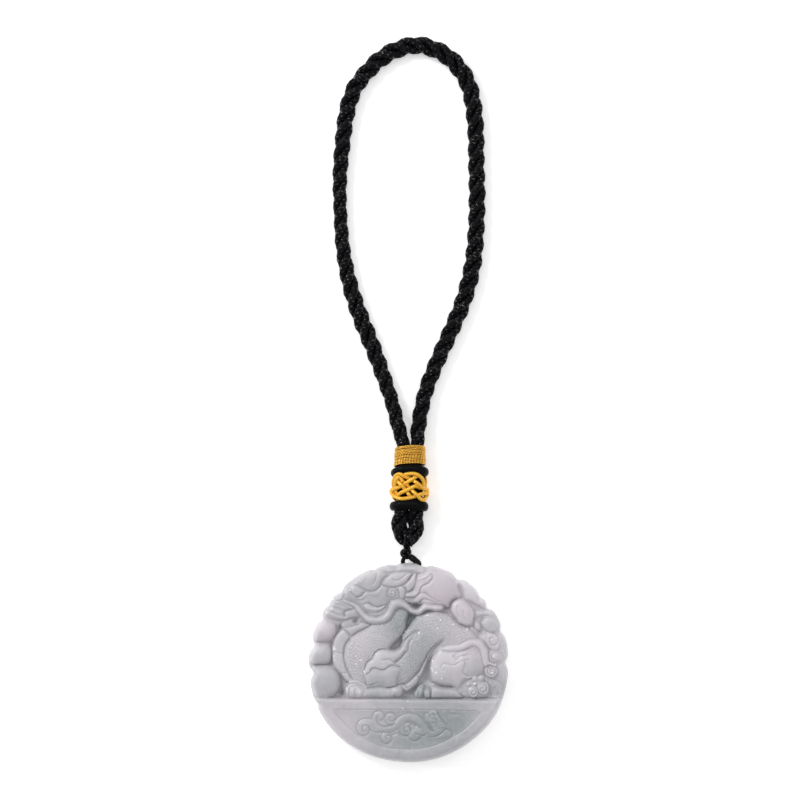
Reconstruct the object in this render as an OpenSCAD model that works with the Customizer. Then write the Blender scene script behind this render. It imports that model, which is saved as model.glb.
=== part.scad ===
// Jade pendant: a round carved jade disc that lies on its flat back, hung by a thin
// black tie from the eye of a black laid cord. Above the eye the two limbs of the cord
// run side by side through a black ring, a gold knot, a second black ring and a gold
// thread wrapping, and then open out into the neck loop.
// Millimetres. X right, Y towards the top of the loop, Z up from the surface it lies on.
// Origin: middle of the disc's back.

/* [Jade disc] */
// mean diameter of the disc's scalloped outline
disc_d = 55.2; // [53:0.2:56]
// height of the plain ground between the carved masses
ground_z = 4.4; // [4.2:0.1:4.8]
// height of the highest carved mass
relief_z = 8.5; // [7.6:0.1:9.5]
// height of the vertical side wall's upper edge
side_z = 3.5; // [3.4:0.1:3.8]
// rounding at the back edge
back_round = 0.8; // [0.4:0.1:1]
// radius of the two bores for the tie
bore_r = 0.9; // [0.85:0.01:0.95]

/* [Cord] */
// diameter of the laid cord where it lies free
cord_d = 4.2; // [3.9:0.1:4.3]
// width of each limb where the two are bound together
bound_w = 3.8; // [3.6:0.05:3.85]
// height of the bound limbs' middle above the surface
core_z = 3.86; // [3.84:0.01:4.2]

/* [Bindings] */
// radial thickness of the gold thread wrapping
wrap_t = 0.45; // [0.35:0.05:0.5]
// turns of thread in the wrapping
wrap_turns = 12; // [9:1:13]
// radial thickness of the black rings
ring_t = 1.28; // [1:0.02:1.4]
// radial thickness of the gold knot
knot_t = 1.52; // [1.3:0.02:1.54]
// gap between neighbouring pieces
gap = 0.1; // [0.05:0.01:0.12]

/* [Tie] */
// diameter of the tie where it runs through the disc
tie_d = 1.2; // [1:0.05:1.3]
// diameter of the two thin passes round the foot of the eye
pass_d = 0.7; // [0.6:0.05:0.75]

/* [Hidden] */

jade_c = [0.72, 0.74, 0.71];
black_c = [0.05, 0.05, 0.06];
gold_c = [0.85, 0.55, 0.12];

// ---- helpers

function sum(v, i = 0) = i < len(v) ? v[i] + sum(v, i + 1) : 0;
function unit(v) = v / norm(v);
function near_angle(a) = a > 180 ? a - 360 : (a < -180 ? a + 360 : a);
function bell(d, w) = exp(-(d / w) * (d / w));
function step01(t) = let (c = min(1, max(0, t))) c * c * (3 - 2 * c);

// Tube swept along a route of [x, y, z, width, thickness]; side is the direction that
// the width is measured across when the tube runs square to it.
function route_dir(r, i) = let (a = r[max(0, i - 1)], b = r[min(len(r) - 1, i + 1)])
    unit([b[0] - a[0], b[1] - a[1], b[2] - a[2]]);
function tube_points(r, up, n) = [for (i = [0:len(r) - 1])
    let (t = route_dir(r, i), s = unit(cross(t, up)), u = cross(s, t))
        for (k = [0:n - 1]) let (a = 360 * (k + 0.5) / n)
            [r[i][0], r[i][1], r[i][2]] + s * r[i][3] / 2 * cos(a) + u * r[i][4] / 2 * sin(a)];
function tube_faces(m, n) = concat(
    [for (i = [0:m - 2]) for (k = [0:n - 1]) let (a = i * n + k, b = i * n + (k + 1) % n) [a, b, b + n]],
    [for (i = [0:m - 2]) for (k = [0:n - 1]) let (a = i * n + k, b = i * n + (k + 1) % n) [a, b + n, a + n]],
    [[for (k = [n - 1:-1:0]) k]],
    [[for (k = [0:n - 1]) (m - 1) * n + k]]);
module tube(r, up = [0, 0, 1], n = 10)
    polyhedron(tube_points(r, up, n), tube_faces(len(r), n), convexity = 6);

// ---- disc

// places where the carving cuts into the outline: angle, depth, half width in degrees
outline_notches = [
    [0, 0.9, 3], [19, 0.8, 2.6], [35, 1.25, 2.8], [42.5, 0.75, 3], [60, 0.95, 2.6],
    [81, 1, 2.8], [97.5, 0.45, 2], [110, 0.4, 1.6], [133.5, 0.75, 2.6], [144, 0.4, 2],
    [153.5, 0.95, 2.6], [169.5, 1.1, 3.2], [186, 1.15, 3.4], [204, 0.85, 1.8],
    [265, 0.2, 16]];
// places where it swells: angle, height, half width in degrees
outline_swells = [[120, 0.25, 12], [218, 0.5, 24], [328, 0.35, 14]];

function outline(a) = disc_d / 2
    - sum([for (n = outline_notches) n[1] * bell(near_angle(a - n[0]), n[2])])
    + sum([for (n = outline_swells) n[1] * bell(near_angle(a - n[0]), n[2])]);

// carved masses: x, y, half length, half width, turn, share of the relief height
masses = [
    [8.6, 20.8, 5.8, 5.6, 0, 0.78],    // smooth boulder at the top right
    [-11, 22.2, 4.8, 3, 20, 0.72],     // brow
    [-14.8, 20.2, 2.8, 2.4, 0, 0.6],   // nose
    [-19.6, 15.2, 3.6, 3, 45, 0.5],    // cheek curls
    [-2.6, 20.4, 4.6, 3.6, -10, 0.7],  // ear and hair
    [-10, 14.2, 4.4, 2.2, -10, 0.62],  // jaw
    [-2.2, 15.4, 7, 1.9, -12, 0.6],    // whisker
    [14.4, 13.6, 3.4, 4.2, 15, 0.62],  // flame
    [16.4, 19.4, 3.4, 3.2, 0, 0.52],   // lump beside the boulder
    [-9.4, 6.6, 8.6, 5, 46, 0.78],     // scaled neck
    [-18.8, 2.4, 2, 6.6, 8, 0.6],      // belly band
    [-3.6, 1, 8.4, 4.4, 38, 1],        // shoulder of the foreleg
    [-10.4, -3, 3.4, 3, 0, 0.82],      // forearm
    [8.6, 6.6, 9.8, 4.8, 48, 0.82],    // scaled trunk
    [13.4, 0, 6.8, 5.8, -10, 0.9],     // thigh of the hind leg
    [19.6, 3.4, 2.4, 4.8, 20, 0.66],   // ribbon behind the thigh
    [22.4, 11.4, 2.9, 2.9, 0, 0.46],   // rim curls at the right
    [23.6, 5.2, 2.8, 3.4, 0, 0.46],
    [24.4, -4, 2.6, 5, 0, 0.42],
    [-23.2, 8.8, 3, 3, 0, 0.5],        // rim beads at the left
    [-24.2, 2.4, 2.9, 3, 0, 0.48],
    [-22.6, -4.8, 3.8, 4.4, 0, 0.55],
    [-10.2, -7.4, 8, 2.4, 0, 0.66],    // front paw
    [10.6, -8, 5, 2.2, 0, 0.66],       // hind foot
    [18.4, -6.8, 2.8, 2.4, 0, 0.55]];  // curls behind the foot

// the standing base: its top line, its height and the sunk panel in it
base_y = -9.8;
base_z = ground_z + 0.58 * (relief_z - ground_z);
panel_y = -12.8;
panel_share = 0.2;
panel_half = [19.6, 10.8];
// raised scrolls in the panel: x, y, half length, half width, turn, share
scrolls = [
    [-11.4, -18, 2.6, 2.6, 0, 0.5], [-7, -14.8, 2.4, 1.8, -30, 0.5],
    [-6, -19.8, 2, 2, 0, 0.46], [-0.6, -17.4, 2.4, 3, 0, 0.52],
    [7.4, -16.6, 3.4, 2.4, -35, 0.56], [10.6, -19.6, 2, 2, 0, 0.46]];

function dome(x, y, m) = let (dx = x - m[0], dy = y - m[1],
    u = (dx * cos(m[4]) + dy * sin(m[4])) / m[2], v = (dy * cos(m[4]) - dx * sin(m[4])) / m[3],
    q = u * u + v * v) q < 1 ? m[5] * pow(1 - q * q, 0.7) : 0;
function panel_depth(x, y) = let (u = x / panel_half[0], v = (panel_y - y) / panel_half[1])
    step01((1 - u * u - v * v) * 4) * step01((panel_y - y) / 0.9);
function relief(x, y) = let (
    body = ground_z + (relief_z - ground_z) * max([for (m = masses) dome(x, y, m)]),
    panel = ground_z + (relief_z - ground_z) * max(panel_share, max([for (m = scrolls) dome(x, y, m)])),
    pd = panel_depth(x, y),
    base = base_z * (1 - pd) + panel * pd,
    b = step01((base_y - y) / 1.2 + 0.5)) body * (1 - b) + base * b;

sectors = 108;
rings = 22;
function share(i) = 1 - pow(i / rings, 1.15);
function disc_ring(f, dz) = [for (j = [0:sectors - 1]) let (a = 360 * j / sectors, r = outline(a) * f,
    x = r * cos(a), y = r * sin(a)) [x, y, side_z + (relief(x, y) - side_z) * dz]];
disc_points = concat(
    [for (j = [0:sectors - 1]) let (a = 360 * j / sectors, r = outline(a) - back_round) [r * cos(a), r * sin(a), 0]],
    [for (j = [0:sectors - 1]) let (a = 360 * j / sectors, r = outline(a) - back_round * 0.3) [r * cos(a), r * sin(a), back_round * 0.3]],
    [for (j = [0:sectors - 1]) let (a = 360 * j / sectors, r = outline(a)) [r * cos(a), r * sin(a), back_round]],
    [for (i = [0:rings - 1]) each disc_ring(share(i), i == 0 ? 0 : (i == 1 ? 0.72 : 1))],
    [[0, 0, relief(0, 0)]]);
disc_levels = rings + 3;
disc_faces = concat(
    [[for (j = [0:sectors - 1]) j]],
    [for (i = [0:disc_levels - 2]) for (j = [0:sectors - 1]) let (a = i * sectors + j, b = i * sectors + (j + 1) % sectors) [b, a, a + sectors]],
    [for (i = [0:disc_levels - 2]) for (j = [0:sectors - 1]) let (a = i * sectors + j, b = i * sectors + (j + 1) % sectors) [b, a + sectors, b + sectors]],
    [for (j = [0:sectors - 1]) let (t = (disc_levels - 1) * sectors) [t + (j + 1) % sectors, t + j, disc_levels * sectors]]);

// the two bores run in from the top edge and meet inside the stone
bore_meet = [0.55, 20.9, 2.2];
bore_left = [-1.75, 27.5, 2.2];
bore_right = [2.75, 27.2, 2.2];
module bore(from, to) {
    d = to - from;
    translate(from) rotate([0, 90, atan2(d[1], d[0])]) cylinder(h = norm(d) + 2, r = bore_r, $fn = 48);
}

module jade_disc() color(jade_c) difference() {
    polyhedron(disc_points, disc_faces, convexity = 10);
    bore(bore_meet, bore_left);
    bore(bore_meet, bore_right);
}

// ---- cord

// middle of the neck loop from the left limb's end in the wrapping, over the top and back:
// x, y, height over its resting height
loop_route = [
    [-1.6, 57.4, 1], [-1.65, 61, 1], [-2.8, 65, 0.75], [-4.5, 71.6, 0.25], [-6.8, 78.6, 0],
    [-10.1, 87.6, 0], [-13.7, 96.5, 0], [-16.5, 105.5, 0], [-18.2, 115, 0], [-18.9, 125, 0],
    [-19, 134, 0], [-18.3, 143, 0], [-17.1, 152, 0], [-15, 158.5, 0], [-11.7, 163, 0], [-7.9, 166.7, 0],
    [-3.2, 169.4, 0], [2.2, 170.6, 0], [7.3, 169.4, 0], [11.8, 166.6, 0], [15.5, 161.9, 0], [17.5, 156.1, 0],
    [18.5, 147.5, 0], [18.7, 138, 0], [18.9, 129, 0], [18.6, 119, 0], [17.6, 109.4, 0],
    [15.1, 99.9, 0], [11.6, 91.5, 0], [8, 83.5, 0], [5.2, 76.5, 0], [3.6, 70.5, 0.3], [2.7, 65, 0.75],
    [2.38, 61, 1], [2.3, 57.4, 1]];
rest_z = cord_d / 2 + 0.05;
loop_tube = [for (p = loop_route) [p[0], p[1], rest_z + (core_z - rest_z) * p[2],
    p[1] < 62 ? bound_w : cord_d, cord_d]];

module loop_cord() color(black_c) tube(loop_tube, n = 10);

// the cord's eye: two limbs side by side, then a tight turn: x, y, height, width
eye_x = -0.3;
eye_turn_y = 36.5;
eye_turn_r = 2.7;
eye_limb = [[0.36, 57.3, core_z, 1.95], [0.3, 52, core_z, 1.95], [0.1, 44, core_z, 1.95],
    [0, 41.5, core_z - 0.06, 2], [-0.2, 38.8, core_z - 0.2, 2.55]];
eye_tube = concat(
    [for (p = eye_limb) [p[0] - p[3], p[1], p[2], p[3] < 2.2 ? bound_w : 3.85, cord_d - 0.1]],
    [for (a = [180:22.5:360]) [eye_x + eye_turn_r * cos(a), eye_turn_y + eye_turn_r * sin(a),
        core_z - 0.35 - 0.1 * abs(sin(a)), 3.8, cord_d - 0.3]],
    [for (i = [4:-1:0]) let (p = eye_limb[i]) [p[0] + p[3], p[1], p[2], p[3] < 2.2 ? bound_w : 3.85, cord_d - 0.1]]);

module cord_eye() color(black_c) tube(eye_tube, n = 12);

// ---- bindings

core_half = 1.75;   // half distance between the centres of a binding's two round ends
core_r = cord_d / 2 + gap;

// closed binding round both limbs; the profile's x is the distance from the end's centre
module round_both(half) rotate([-90, 0, 0]) {
    for (s = [0, 180]) rotate(s) translate([half, 0, 0]) rotate(-90) rotate_extrude(angle = 180, $fn = 64) children();
    for (s = [0, 180]) rotate(s) translate([-half, 0, 0]) rotate([90, 0, 90]) linear_extrude(2 * half) children();
}
// profile with rounded outer corners: inner radius, outer radius, length, corner
module band_profile(r0, r1, l, c) polygon([
    [r0, -l / 2], [r1 - c, -l / 2], [r1 - c * 0.29, -l / 2 + c * 0.29], [r1, -l / 2 + c],
    [r1, l / 2 - c], [r1 - c * 0.29, l / 2 - c * 0.29], [r1 - c, l / 2], [r0, l / 2]]);

wrap_len = 5.3;
wrap_pitch = wrap_len / wrap_turns;
module gold_wrap() color(gold_c) translate([0.36, 57.45, core_z]) round_both(core_half)
    polygon(concat([[core_r, -wrap_len / 2]],
        [for (i = [0:wrap_turns - 1]) each let (y = -wrap_len / 2 + i * wrap_pitch) [
            [core_r + wrap_t * 0.55, y], [core_r + wrap_t, y + wrap_pitch * 0.3], [core_r + wrap_t, y + wrap_pitch * 0.7]]],
        [[core_r + wrap_t * 0.55, wrap_len / 2], [core_r, wrap_len / 2]]));

module upper_ring() color(black_c) translate([0.26, 53.25, core_z]) rotate(1) round_both(core_half)
    band_profile(core_r, core_r + ring_t, 2.7, 1);

module gold_knot() color(gold_c) translate([0.2, 48.3, core_z]) rotate(-1.4) round_both(core_half)
    band_profile(core_r, core_r + knot_t, 6.7, 1.3);

module lower_ring() color(black_c) translate([0.05, 43.4, core_z]) rotate(-0.5) round_both(core_half)
    band_profile(core_r, core_r + ring_t, 2.6, 1);

// ---- tie

knot_at = [-0.6, 30.03, 2.9];
module tie_knot() color(black_c) translate(knot_at) scale([1.5, 1.45, 1.4]) sphere(r = 1, $fn = 24);

// from under the knot into the left bore, round the stone between the bores and back
crotch = [0.55, 23.5];
tie_turn = 0.72;
tie_route = concat(
    [[-1.35, 28.75, 2.7], [-1.6, 28.1, 2.45], [-1.45, 27.2, 2.25], [-0.78, 25.3, 2.2]],
    [for (a = [200:28:340]) [crotch[0] + tie_turn * cos(a), crotch[1] + tie_turn * sin(a), 2.2]],
    [[1.88, 25.3, 2.2], [2.65, 27.4, 2.25], [2.2, 28.2, 2.45], [0.5, 28.88, 2.7]]);
module tie_string() color(black_c) tube([for (p = tie_route) [p[0], p[1], p[2], tie_d, tie_d]], n = 8);

// two thin passes, side by side: from the knot over the foot of the eye, down through
// the eye and back under it
foot = [eye_x, eye_turn_y - eye_turn_r, core_z - 0.45];
pass_r = (cord_d - 0.3) / 2 + pass_d / 2 + 0.15;
module one_pass(side) tube([for (a = [150:-25:-150]) [foot[0] + side * (0.37 + 0.55 * (1 - cos(a)) / 2),
    foot[1] + (pass_r + 0.04) * cos(a), foot[2] + pass_r * sin(a), pass_d, pass_d]], up = [1, 0, 0], n = 8);
module eye_passes() color(black_c) for (side = [-1, 1]) one_pass(side);

jade_disc();
loop_cord();
cord_eye();
gold_wrap();
upper_ring();
gold_knot();
lower_ring();
tie_knot();
tie_string();
eye_passes();
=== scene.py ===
import bpy
import math
import numpy as np
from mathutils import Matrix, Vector


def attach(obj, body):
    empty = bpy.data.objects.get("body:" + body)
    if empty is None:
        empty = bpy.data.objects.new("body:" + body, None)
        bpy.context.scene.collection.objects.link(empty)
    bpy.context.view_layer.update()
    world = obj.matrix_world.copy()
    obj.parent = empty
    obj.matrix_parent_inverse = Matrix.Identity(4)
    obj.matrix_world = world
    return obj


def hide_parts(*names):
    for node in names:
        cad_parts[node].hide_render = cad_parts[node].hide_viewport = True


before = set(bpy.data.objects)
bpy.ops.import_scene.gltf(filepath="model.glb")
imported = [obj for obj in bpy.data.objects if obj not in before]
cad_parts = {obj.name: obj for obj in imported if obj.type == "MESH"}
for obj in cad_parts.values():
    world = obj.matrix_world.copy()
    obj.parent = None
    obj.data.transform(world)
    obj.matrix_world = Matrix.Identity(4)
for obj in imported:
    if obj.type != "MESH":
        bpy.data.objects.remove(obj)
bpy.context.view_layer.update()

MM = 0.001
PX = 0.27609                       # millimetres for each pixel of the picture
CX, CY = 408.7, 662.85             # the disc's middle in the picture


def P(x, y):
    """Picture place to millimetres in the frame."""
    return (x - CX) * PX, (CY - y) * PX


# ---------------------------------------------------------------- camera

cam = bpy.data.cameras.new("camera")
cam.sensor_width = 36
DIST = 1.2
cam.lens = 36 * DIST / (800 * PX * MM)
cam.clip_start, cam.clip_end = 0.05, 20
cam_ob = bpy.data.objects.new("camera", cam)
bpy.context.scene.collection.objects.link(cam_ob)
cx, cy = P(400, 400)
cam_ob.location = (cx * MM, cy * MM, DIST + 0.003)
cam_ob.rotation_euler = (0, 0, 0)
bpy.context.scene.camera = cam_ob

# ---------------------------------------------------------------- swept strands


def smooth(pts, step, closed=False):
    """Smooth line through points of any width, with about step between samples."""
    p = np.array(pts, float)
    n = len(p)
    ext = np.vstack([p[-1], p, p[0], p[1]]) if closed else np.vstack([2 * p[0] - p[1], p, 2 * p[-1] - p[-2]])
    out = []
    for i in range(n if closed else n - 1):
        a, b, c, d = ext[i:i + 4]
        k = max(2, int(np.linalg.norm((c - b)[:2]) / step + 0.5))
        t = (np.arange(k) / k)[:, None]
        out.append(0.5 * (2 * b + (c - a) * t + (2 * a - 5 * b + 4 * c - d) * t * t + (3 * b - a - 3 * c + d) * t ** 3))
    if not closed:
        out.append(p[-1:])
    return np.vstack(out)


def evenly(p, n, closed=False):
    """The same line at n equal steps of its length."""
    q = np.vstack([p, p[:1]]) if closed else p
    s = np.concatenate([[0], np.cumsum(np.linalg.norm(np.diff(q[:, :3], axis=0), axis=1))])
    t = np.linspace(0, s[-1], n + 1)[:-1] if closed else np.linspace(0, s[-1], n)
    return np.stack([np.interp(t, s, q[:, k]) for k in range(q.shape[1])], 1), s[-1]


def unit(v):
    return v / np.maximum(np.linalg.norm(v, axis=1, keepdims=True), 1e-12)


def tangents(p, closed=False):
    if closed:
        return unit(np.roll(p, -1, 0) - np.roll(p, 1, 0))
    return unit(np.gradient(p, axis=0))


def carried(p, first, closed=False):
    """Normals carried along a line without twist; a closed line's twist is spread out."""
    T = tangents(p, closed)
    N = np.zeros_like(p)
    v = np.array(first, float)
    v -= T[0] * v.dot(T[0])
    N[0] = v / np.linalg.norm(v)
    for i in range(1, len(p)):
        v = N[i - 1] - T[i] * N[i - 1].dot(T[i])
        N[i] = v / np.linalg.norm(v)
    if closed:
        v = N[-1] - T[0] * N[-1].dot(T[0])
        v /= np.linalg.norm(v)
        a = math.atan2(np.cross(v, N[0]).dot(T[0]), v.dot(N[0]))
        ang = a * np.arange(len(p)) / len(p)
        B = np.cross(T, N)
        N = N * np.cos(ang)[:, None] + B * np.sin(ang)[:, None]
    return T, N


class Skin:
    """Collects swept tubes and makes one mesh of them."""

    def __init__(self):
        self.v, self.f, self.uv, self.n, self.tone = [], [], [], 0, []

    def tube(self, C, N, ra, rb, sides, shape=None, closed=False, seed=0.0, u0=0.0):
        """C middles and N normals (mm); ra and rb half sizes along N and across it; shape(angle, length) scales them."""
        n = len(C)
        T = tangents(C, closed)
        N = unit(N - T * (N * T).sum(1, keepdims=True))
        B = np.cross(T, N)
        th = np.linspace(0, 2 * math.pi, sides + 1)[:-1]
        seg = np.linalg.norm(np.diff(C, axis=0), axis=1)
        s = np.concatenate([[0], np.cumsum(seg)])
        ra = np.broadcast_to(np.asarray(ra, float), (n,))[:, None]
        rb = np.broadcast_to(np.asarray(rb, float), (n,))[:, None]
        k = shape(th[None, :], s[:, None]) if shape else 1.0
        a = (ra * k * np.cos(th))[..., None] * N[:, None, :]
        b = (rb * k * np.sin(th))[..., None] * B[:, None, :]
        V = (C[:, None, :] + a + b).reshape(-1, 3)
        i = np.arange(n if closed else n - 1)[:, None]
        j = np.arange(sides)[None, :]
        i2, j2 = (i + 1) % n, (j + 1) % sides
        F = np.stack([i * sides + j, i * sides + j2, i2 * sides + j2, i2 * sides + j], -1).reshape(-1, 4) + self.n
        total = s[-1] + (np.linalg.norm(C[0] - C[-1]) if closed else 0)
        su = np.append(s, total) if closed else s
        U0, U1 = su[:-1][:, None] + u0, su[1:][:, None] + u0
        v0, v1 = j / sides, (j + 1) / sides
        z = np.zeros_like(U0 * v0)
        uv = np.stack([np.stack([U0 + z, v0 + z], -1), np.stack([U0 + z, v1 + z], -1),
                       np.stack([U1 + z, v1 + z], -1), np.stack([U1 + z, v0 + z], -1)], 2).reshape(-1, 2)
        self.v.append(V)
        self.f.append(F)
        self.uv.append(uv)
        self.tone.append(np.full(len(V), seed))
        if not closed:
            for e, row in ((0, 0), (1, n - 1)):
                c = self.n + len(V) + e
                self.v.append(C[row][None])
                self.tone.append(np.array([seed]))
                r = self.n + row * sides + np.arange(sides)
                r2 = np.roll(r, -1)
                q = np.stack([r2, r, np.full(sides, c)], -1) if row == 0 else np.stack([r, r2, np.full(sides, c)], -1)
                self.f.append(q)
                self.uv.append(np.tile([[su[row] + u0, 0.5]], (3 * sides, 1)))
            self.n += 2
        self.n += len(V)

    def build(self, name):
        V = np.vstack(self.v) * MM
        me = bpy.data.meshes.new(name)
        loops = np.concatenate([f.ravel() for f in self.f])
        sizes = np.concatenate([np.full(len(f), f.shape[1]) for f in self.f])
        starts = np.concatenate([[0], np.cumsum(sizes)[:-1]])
        me.vertices.add(len(V))
        me.vertices.foreach_set("co", V.ravel())
        me.loops.add(len(loops))
        me.loops.foreach_set("vertex_index", loops.astype(np.int32))
        me.polygons.add(len(sizes))
        me.polygons.foreach_set("loop_start", starts.astype(np.int32))
        me.polygons.foreach_set("loop_total", sizes.astype(np.int32))
        uv = me.uv_layers.new(name="along")
        uv.data.foreach_set("uv", np.vstack(self.uv).astype(np.float32).ravel())
        at = me.attributes.new("tone", "FLOAT", "POINT")
        at.data.foreach_set("value", np.concatenate(self.tone).astype(np.float32))
        me.update(calc_edges=True)
        me.validate()
        me.polygons.foreach_set("use_smooth", np.ones(len(me.polygons), bool))
        ob = bpy.data.objects.new(name, me)
        bpy.context.scene.collection.objects.link(ob)
        return ob


# ---------------------------------------------------------------- laid cord

CORD_D, BOUND_W, CORE_Z = 4.2, 3.8, 3.86
REST_Z = CORD_D / 2 + 0.05
LAY = 14.2                         # one turn of a strand, in mm
loop_route = [
    (-1.6, 57.4, 1), (-1.65, 61, 1), (-2.8, 65, 0.75), (-4.5, 71.6, 0.25), (-6.8, 78.6, 0),
    (-10.1, 87.6, 0), (-13.7, 96.5, 0), (-16.5, 105.5, 0), (-18.2, 115, 0), (-18.9, 125, 0),
    (-19, 134, 0), (-18.3, 143, 0), (-17.1, 152, 0), (-15, 158.5, 0), (-11.7, 163, 0), (-7.9, 166.7, 0),
    (-3.2, 169.4, 0), (2.2, 170.6, 0), (7.3, 169.4, 0), (11.8, 166.6, 0), (15.5, 161.9, 0), (17.5, 156.1, 0),
    (18.5, 147.5, 0), (18.7, 138, 0), (18.9, 129, 0), (18.6, 119, 0), (17.6, 109.4, 0),
    (15.1, 99.9, 0), (11.6, 91.5, 0), (8, 83.5, 0), (5.2, 76.5, 0), (3.6, 70.5, 0.3), (2.7, 65, 0.75),
    (2.38, 61, 1), (2.3, 57.4, 1)]


def braid(a, s):
    """Small diamond-shaped crowns of a strand's own plait."""
    return 1 + 0.036 * (np.cos(6 * a) + np.cos(2 * math.pi * s / 1.34 + 0 * a)) + 0.015 * np.cos(3 * a + 2 * math.pi * s / 2.68)


def laid(skin, C, wide, thick, sides=32, turn=0.0, lay=LAY):
    """Three strands laid round the line C (mm), with the section wide x thick at each ring."""
    T, N = carried(C, (0, 0, 1))
    B = np.cross(T, N)
    s = np.concatenate([[0], np.cumsum(np.linalg.norm(np.diff(C, axis=0), axis=1))])
    w = np.broadcast_to(np.asarray(wide, float), (len(C),)) / CORD_D
    h = np.broadcast_to(np.asarray(thick, float), (len(C),)) / CORD_D
    for k in range(3):
        ph = turn + k * 2 * math.pi / 3 + 2 * math.pi * s / lay
        out = N * (np.cos(ph) * h)[:, None] + B * (np.sin(ph) * w)[:, None]
        skin.tube(C + 1.19 * out, unit(out), 0.94 * (w + h) / 2, 1.08 * (w + h) / 2, sides, braid, seed=k * 0.37 + 0.1, u0=k * 0.31)


raw = smooth([(x, y, REST_Z + (CORE_Z - REST_Z) * r) for x, y, r in loop_route], 0.4)
ring_c, loop_len = evenly(raw, 800)
near = np.clip((64.5 - ring_c[:, 1]) / 3.5, 0, 1)
# how wide the cord looks along its way in the picture, in mm
girth = np.array([(0, 3.8), (15, 3.65), (28, 4.2), (37, 4.45), (47, 4.25), (59, 3.75), (72, 3.4), (84, 3.95), (97, 4.3), (110, 4.3), (122, 4.5),
                  (141, 4.55), (153, 4.4), (166, 4.2), (178, 4.35), (184, 4.25), (197, 4.5), (209, 4.3), (222, 4.1), (234, 3.95), (250, 3.9)])
seen = np.interp(np.linspace(0, loop_len, 800), girth[:, 0], girth[:, 1]) / 3.8
seen = np.convolve(np.pad(seen, 12, mode="edge"), np.ones(25) / 25, mode="valid")
broad = np.where(seen > 1, (2.13 * seen - 0.705) / 1.425, (2.13 * seen - 0.47) / 1.66)
high = np.minimum(1, 1.5 - 0.5 * broad)
broad, high = CORD_D * broad, CORD_D * high
loop_skin = Skin()
laid(loop_skin, ring_c, broad + (BOUND_W - broad) * near, high + (CORD_D - high) * near, turn=0.4, lay=LAY)
loop_ob = loop_skin.build("neck_loop")
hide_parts("loop_cord")
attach(loop_ob, "root")

# the eye: two limbs through the bindings and a tight turn below them
EYE_X, EYE_Y, EYE_R = -0.35, 36.5, 2.14
EYE_W = 4.85
eye_limb = [(0.36, 57.3, CORE_Z, 1.84), (0.3, 52, CORE_Z, 1.8), (0.1, 44, CORE_Z, 1.8), (-0.05, 41.6, CORE_Z - 0.06, 1.98), (-0.25, 38.9, CORE_Z - 0.2, 2.2)]
route = [(x - h, y, z) for x, y, z, h in eye_limb]
for a in (180, 206, 232, 270, 308, 334, 360):
    c, s = math.cos(math.radians(a)), math.sin(math.radians(a))
    slim = 1 - 0.07 * abs(math.sin(2 * math.radians(a)))
    route.append((EYE_X + EYE_R * c * slim + 0.22 * s * s, EYE_Y + EYE_R * s * slim, CORE_Z - 0.35 - 0.1 * abs(s)))
route += [(x + h, y, z) for x, y, z, h in eye_limb[::-1]]
eye_c, eye_len = evenly(smooth(route, 0.3), 190)
free = np.clip((43.4 - eye_c[:, 1]) / 3.0, 0, 1)
eye_skin = Skin()
laid(eye_skin, eye_c, BOUND_W + (EYE_W - BOUND_W) * free, CORD_D - 0.1 - 0.1 * free, turn=1.6, lay=LAY)
eye_ob = eye_skin.build("eye_of_cord")
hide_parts("cord_eye")
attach(eye_ob, "root")

# ---------------------------------------------------------------- bindings

HALF = 1.75                        # from the middle to the centre of each round end of the section


def around(u, r, cx=0.0, half=HALF):
    """Place and outward normal on the two-limbed section, u along it from the front's middle, at radius r."""
    per = 4 * half + 2 * math.pi * r
    u = (np.asarray(u, float) + per / 2) % per - per / 2
    side = np.sign(u)
    a = np.abs(u)
    arc = np.clip((a - half) / r, 0, math.pi)
    back = a > half + math.pi * r
    x = np.where(back, half - (a - half - math.pi * r), np.where(a < half, a, half + r * np.sin(arc)))
    nx = np.where((a < half) | back, 0, np.sin(arc))
    nz = np.where(a < half, 1.0, np.where(back, -1.0, np.cos(arc)))
    return np.stack([cx + side * x, CORE_Z + r * nz], -1), np.stack([side * nx, nz], -1)


def per_at(r, half=HALF):
    return 4 * half + 2 * math.pi * r


def twist2(a, s):
    """Two plies twisted together."""
    return 1 + 0.022 * np.cos(2 * (a - 2 * math.pi * s / 1.3))


# gold thread wound round both limbs
wrap_skin = Skin()
turns, per_turn = 12.0, 104
n = int(turns * per_turn)
t = np.linspace(0, turns, n)
R_W = 2.42
u = (t + 0.5) * per_at(R_W)
slip = 0.05 * np.sin(2 * math.pi * (t * 0.5 + 0.2)) + 0.035 * np.sin(2 * math.pi * t * 0.31)
xz, nr = around(u, R_W + 0.0 * t, 0.36)
side = (xz[:, 0] - 0.36) / (HALF + R_W)
y = 54.62 + 5.15 * (t / turns) + slip + 0.17 * (xz[:, 1] - CORE_Z) + 0.03 * (xz[:, 0] - 0.36) - 0.28 * side ** 2
C = np.stack([0.36 + (xz[:, 0] - 0.36) * (1.02 - 0.05 * t / turns), y, xz[:, 1]], 1)
N = np.stack([nr[:, 0], 0 * t, nr[:, 1]], 1)
C += N * (0.05 * np.sin(2 * math.pi * t * 0.83 + 1))[:, None]
wrap_skin.tube(C, N, 0.235, 0.238, 8, twist2)
wrap_ob = wrap_skin.build("gold_wrapping")
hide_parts("gold_wrap")
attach(wrap_ob, "root")


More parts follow.
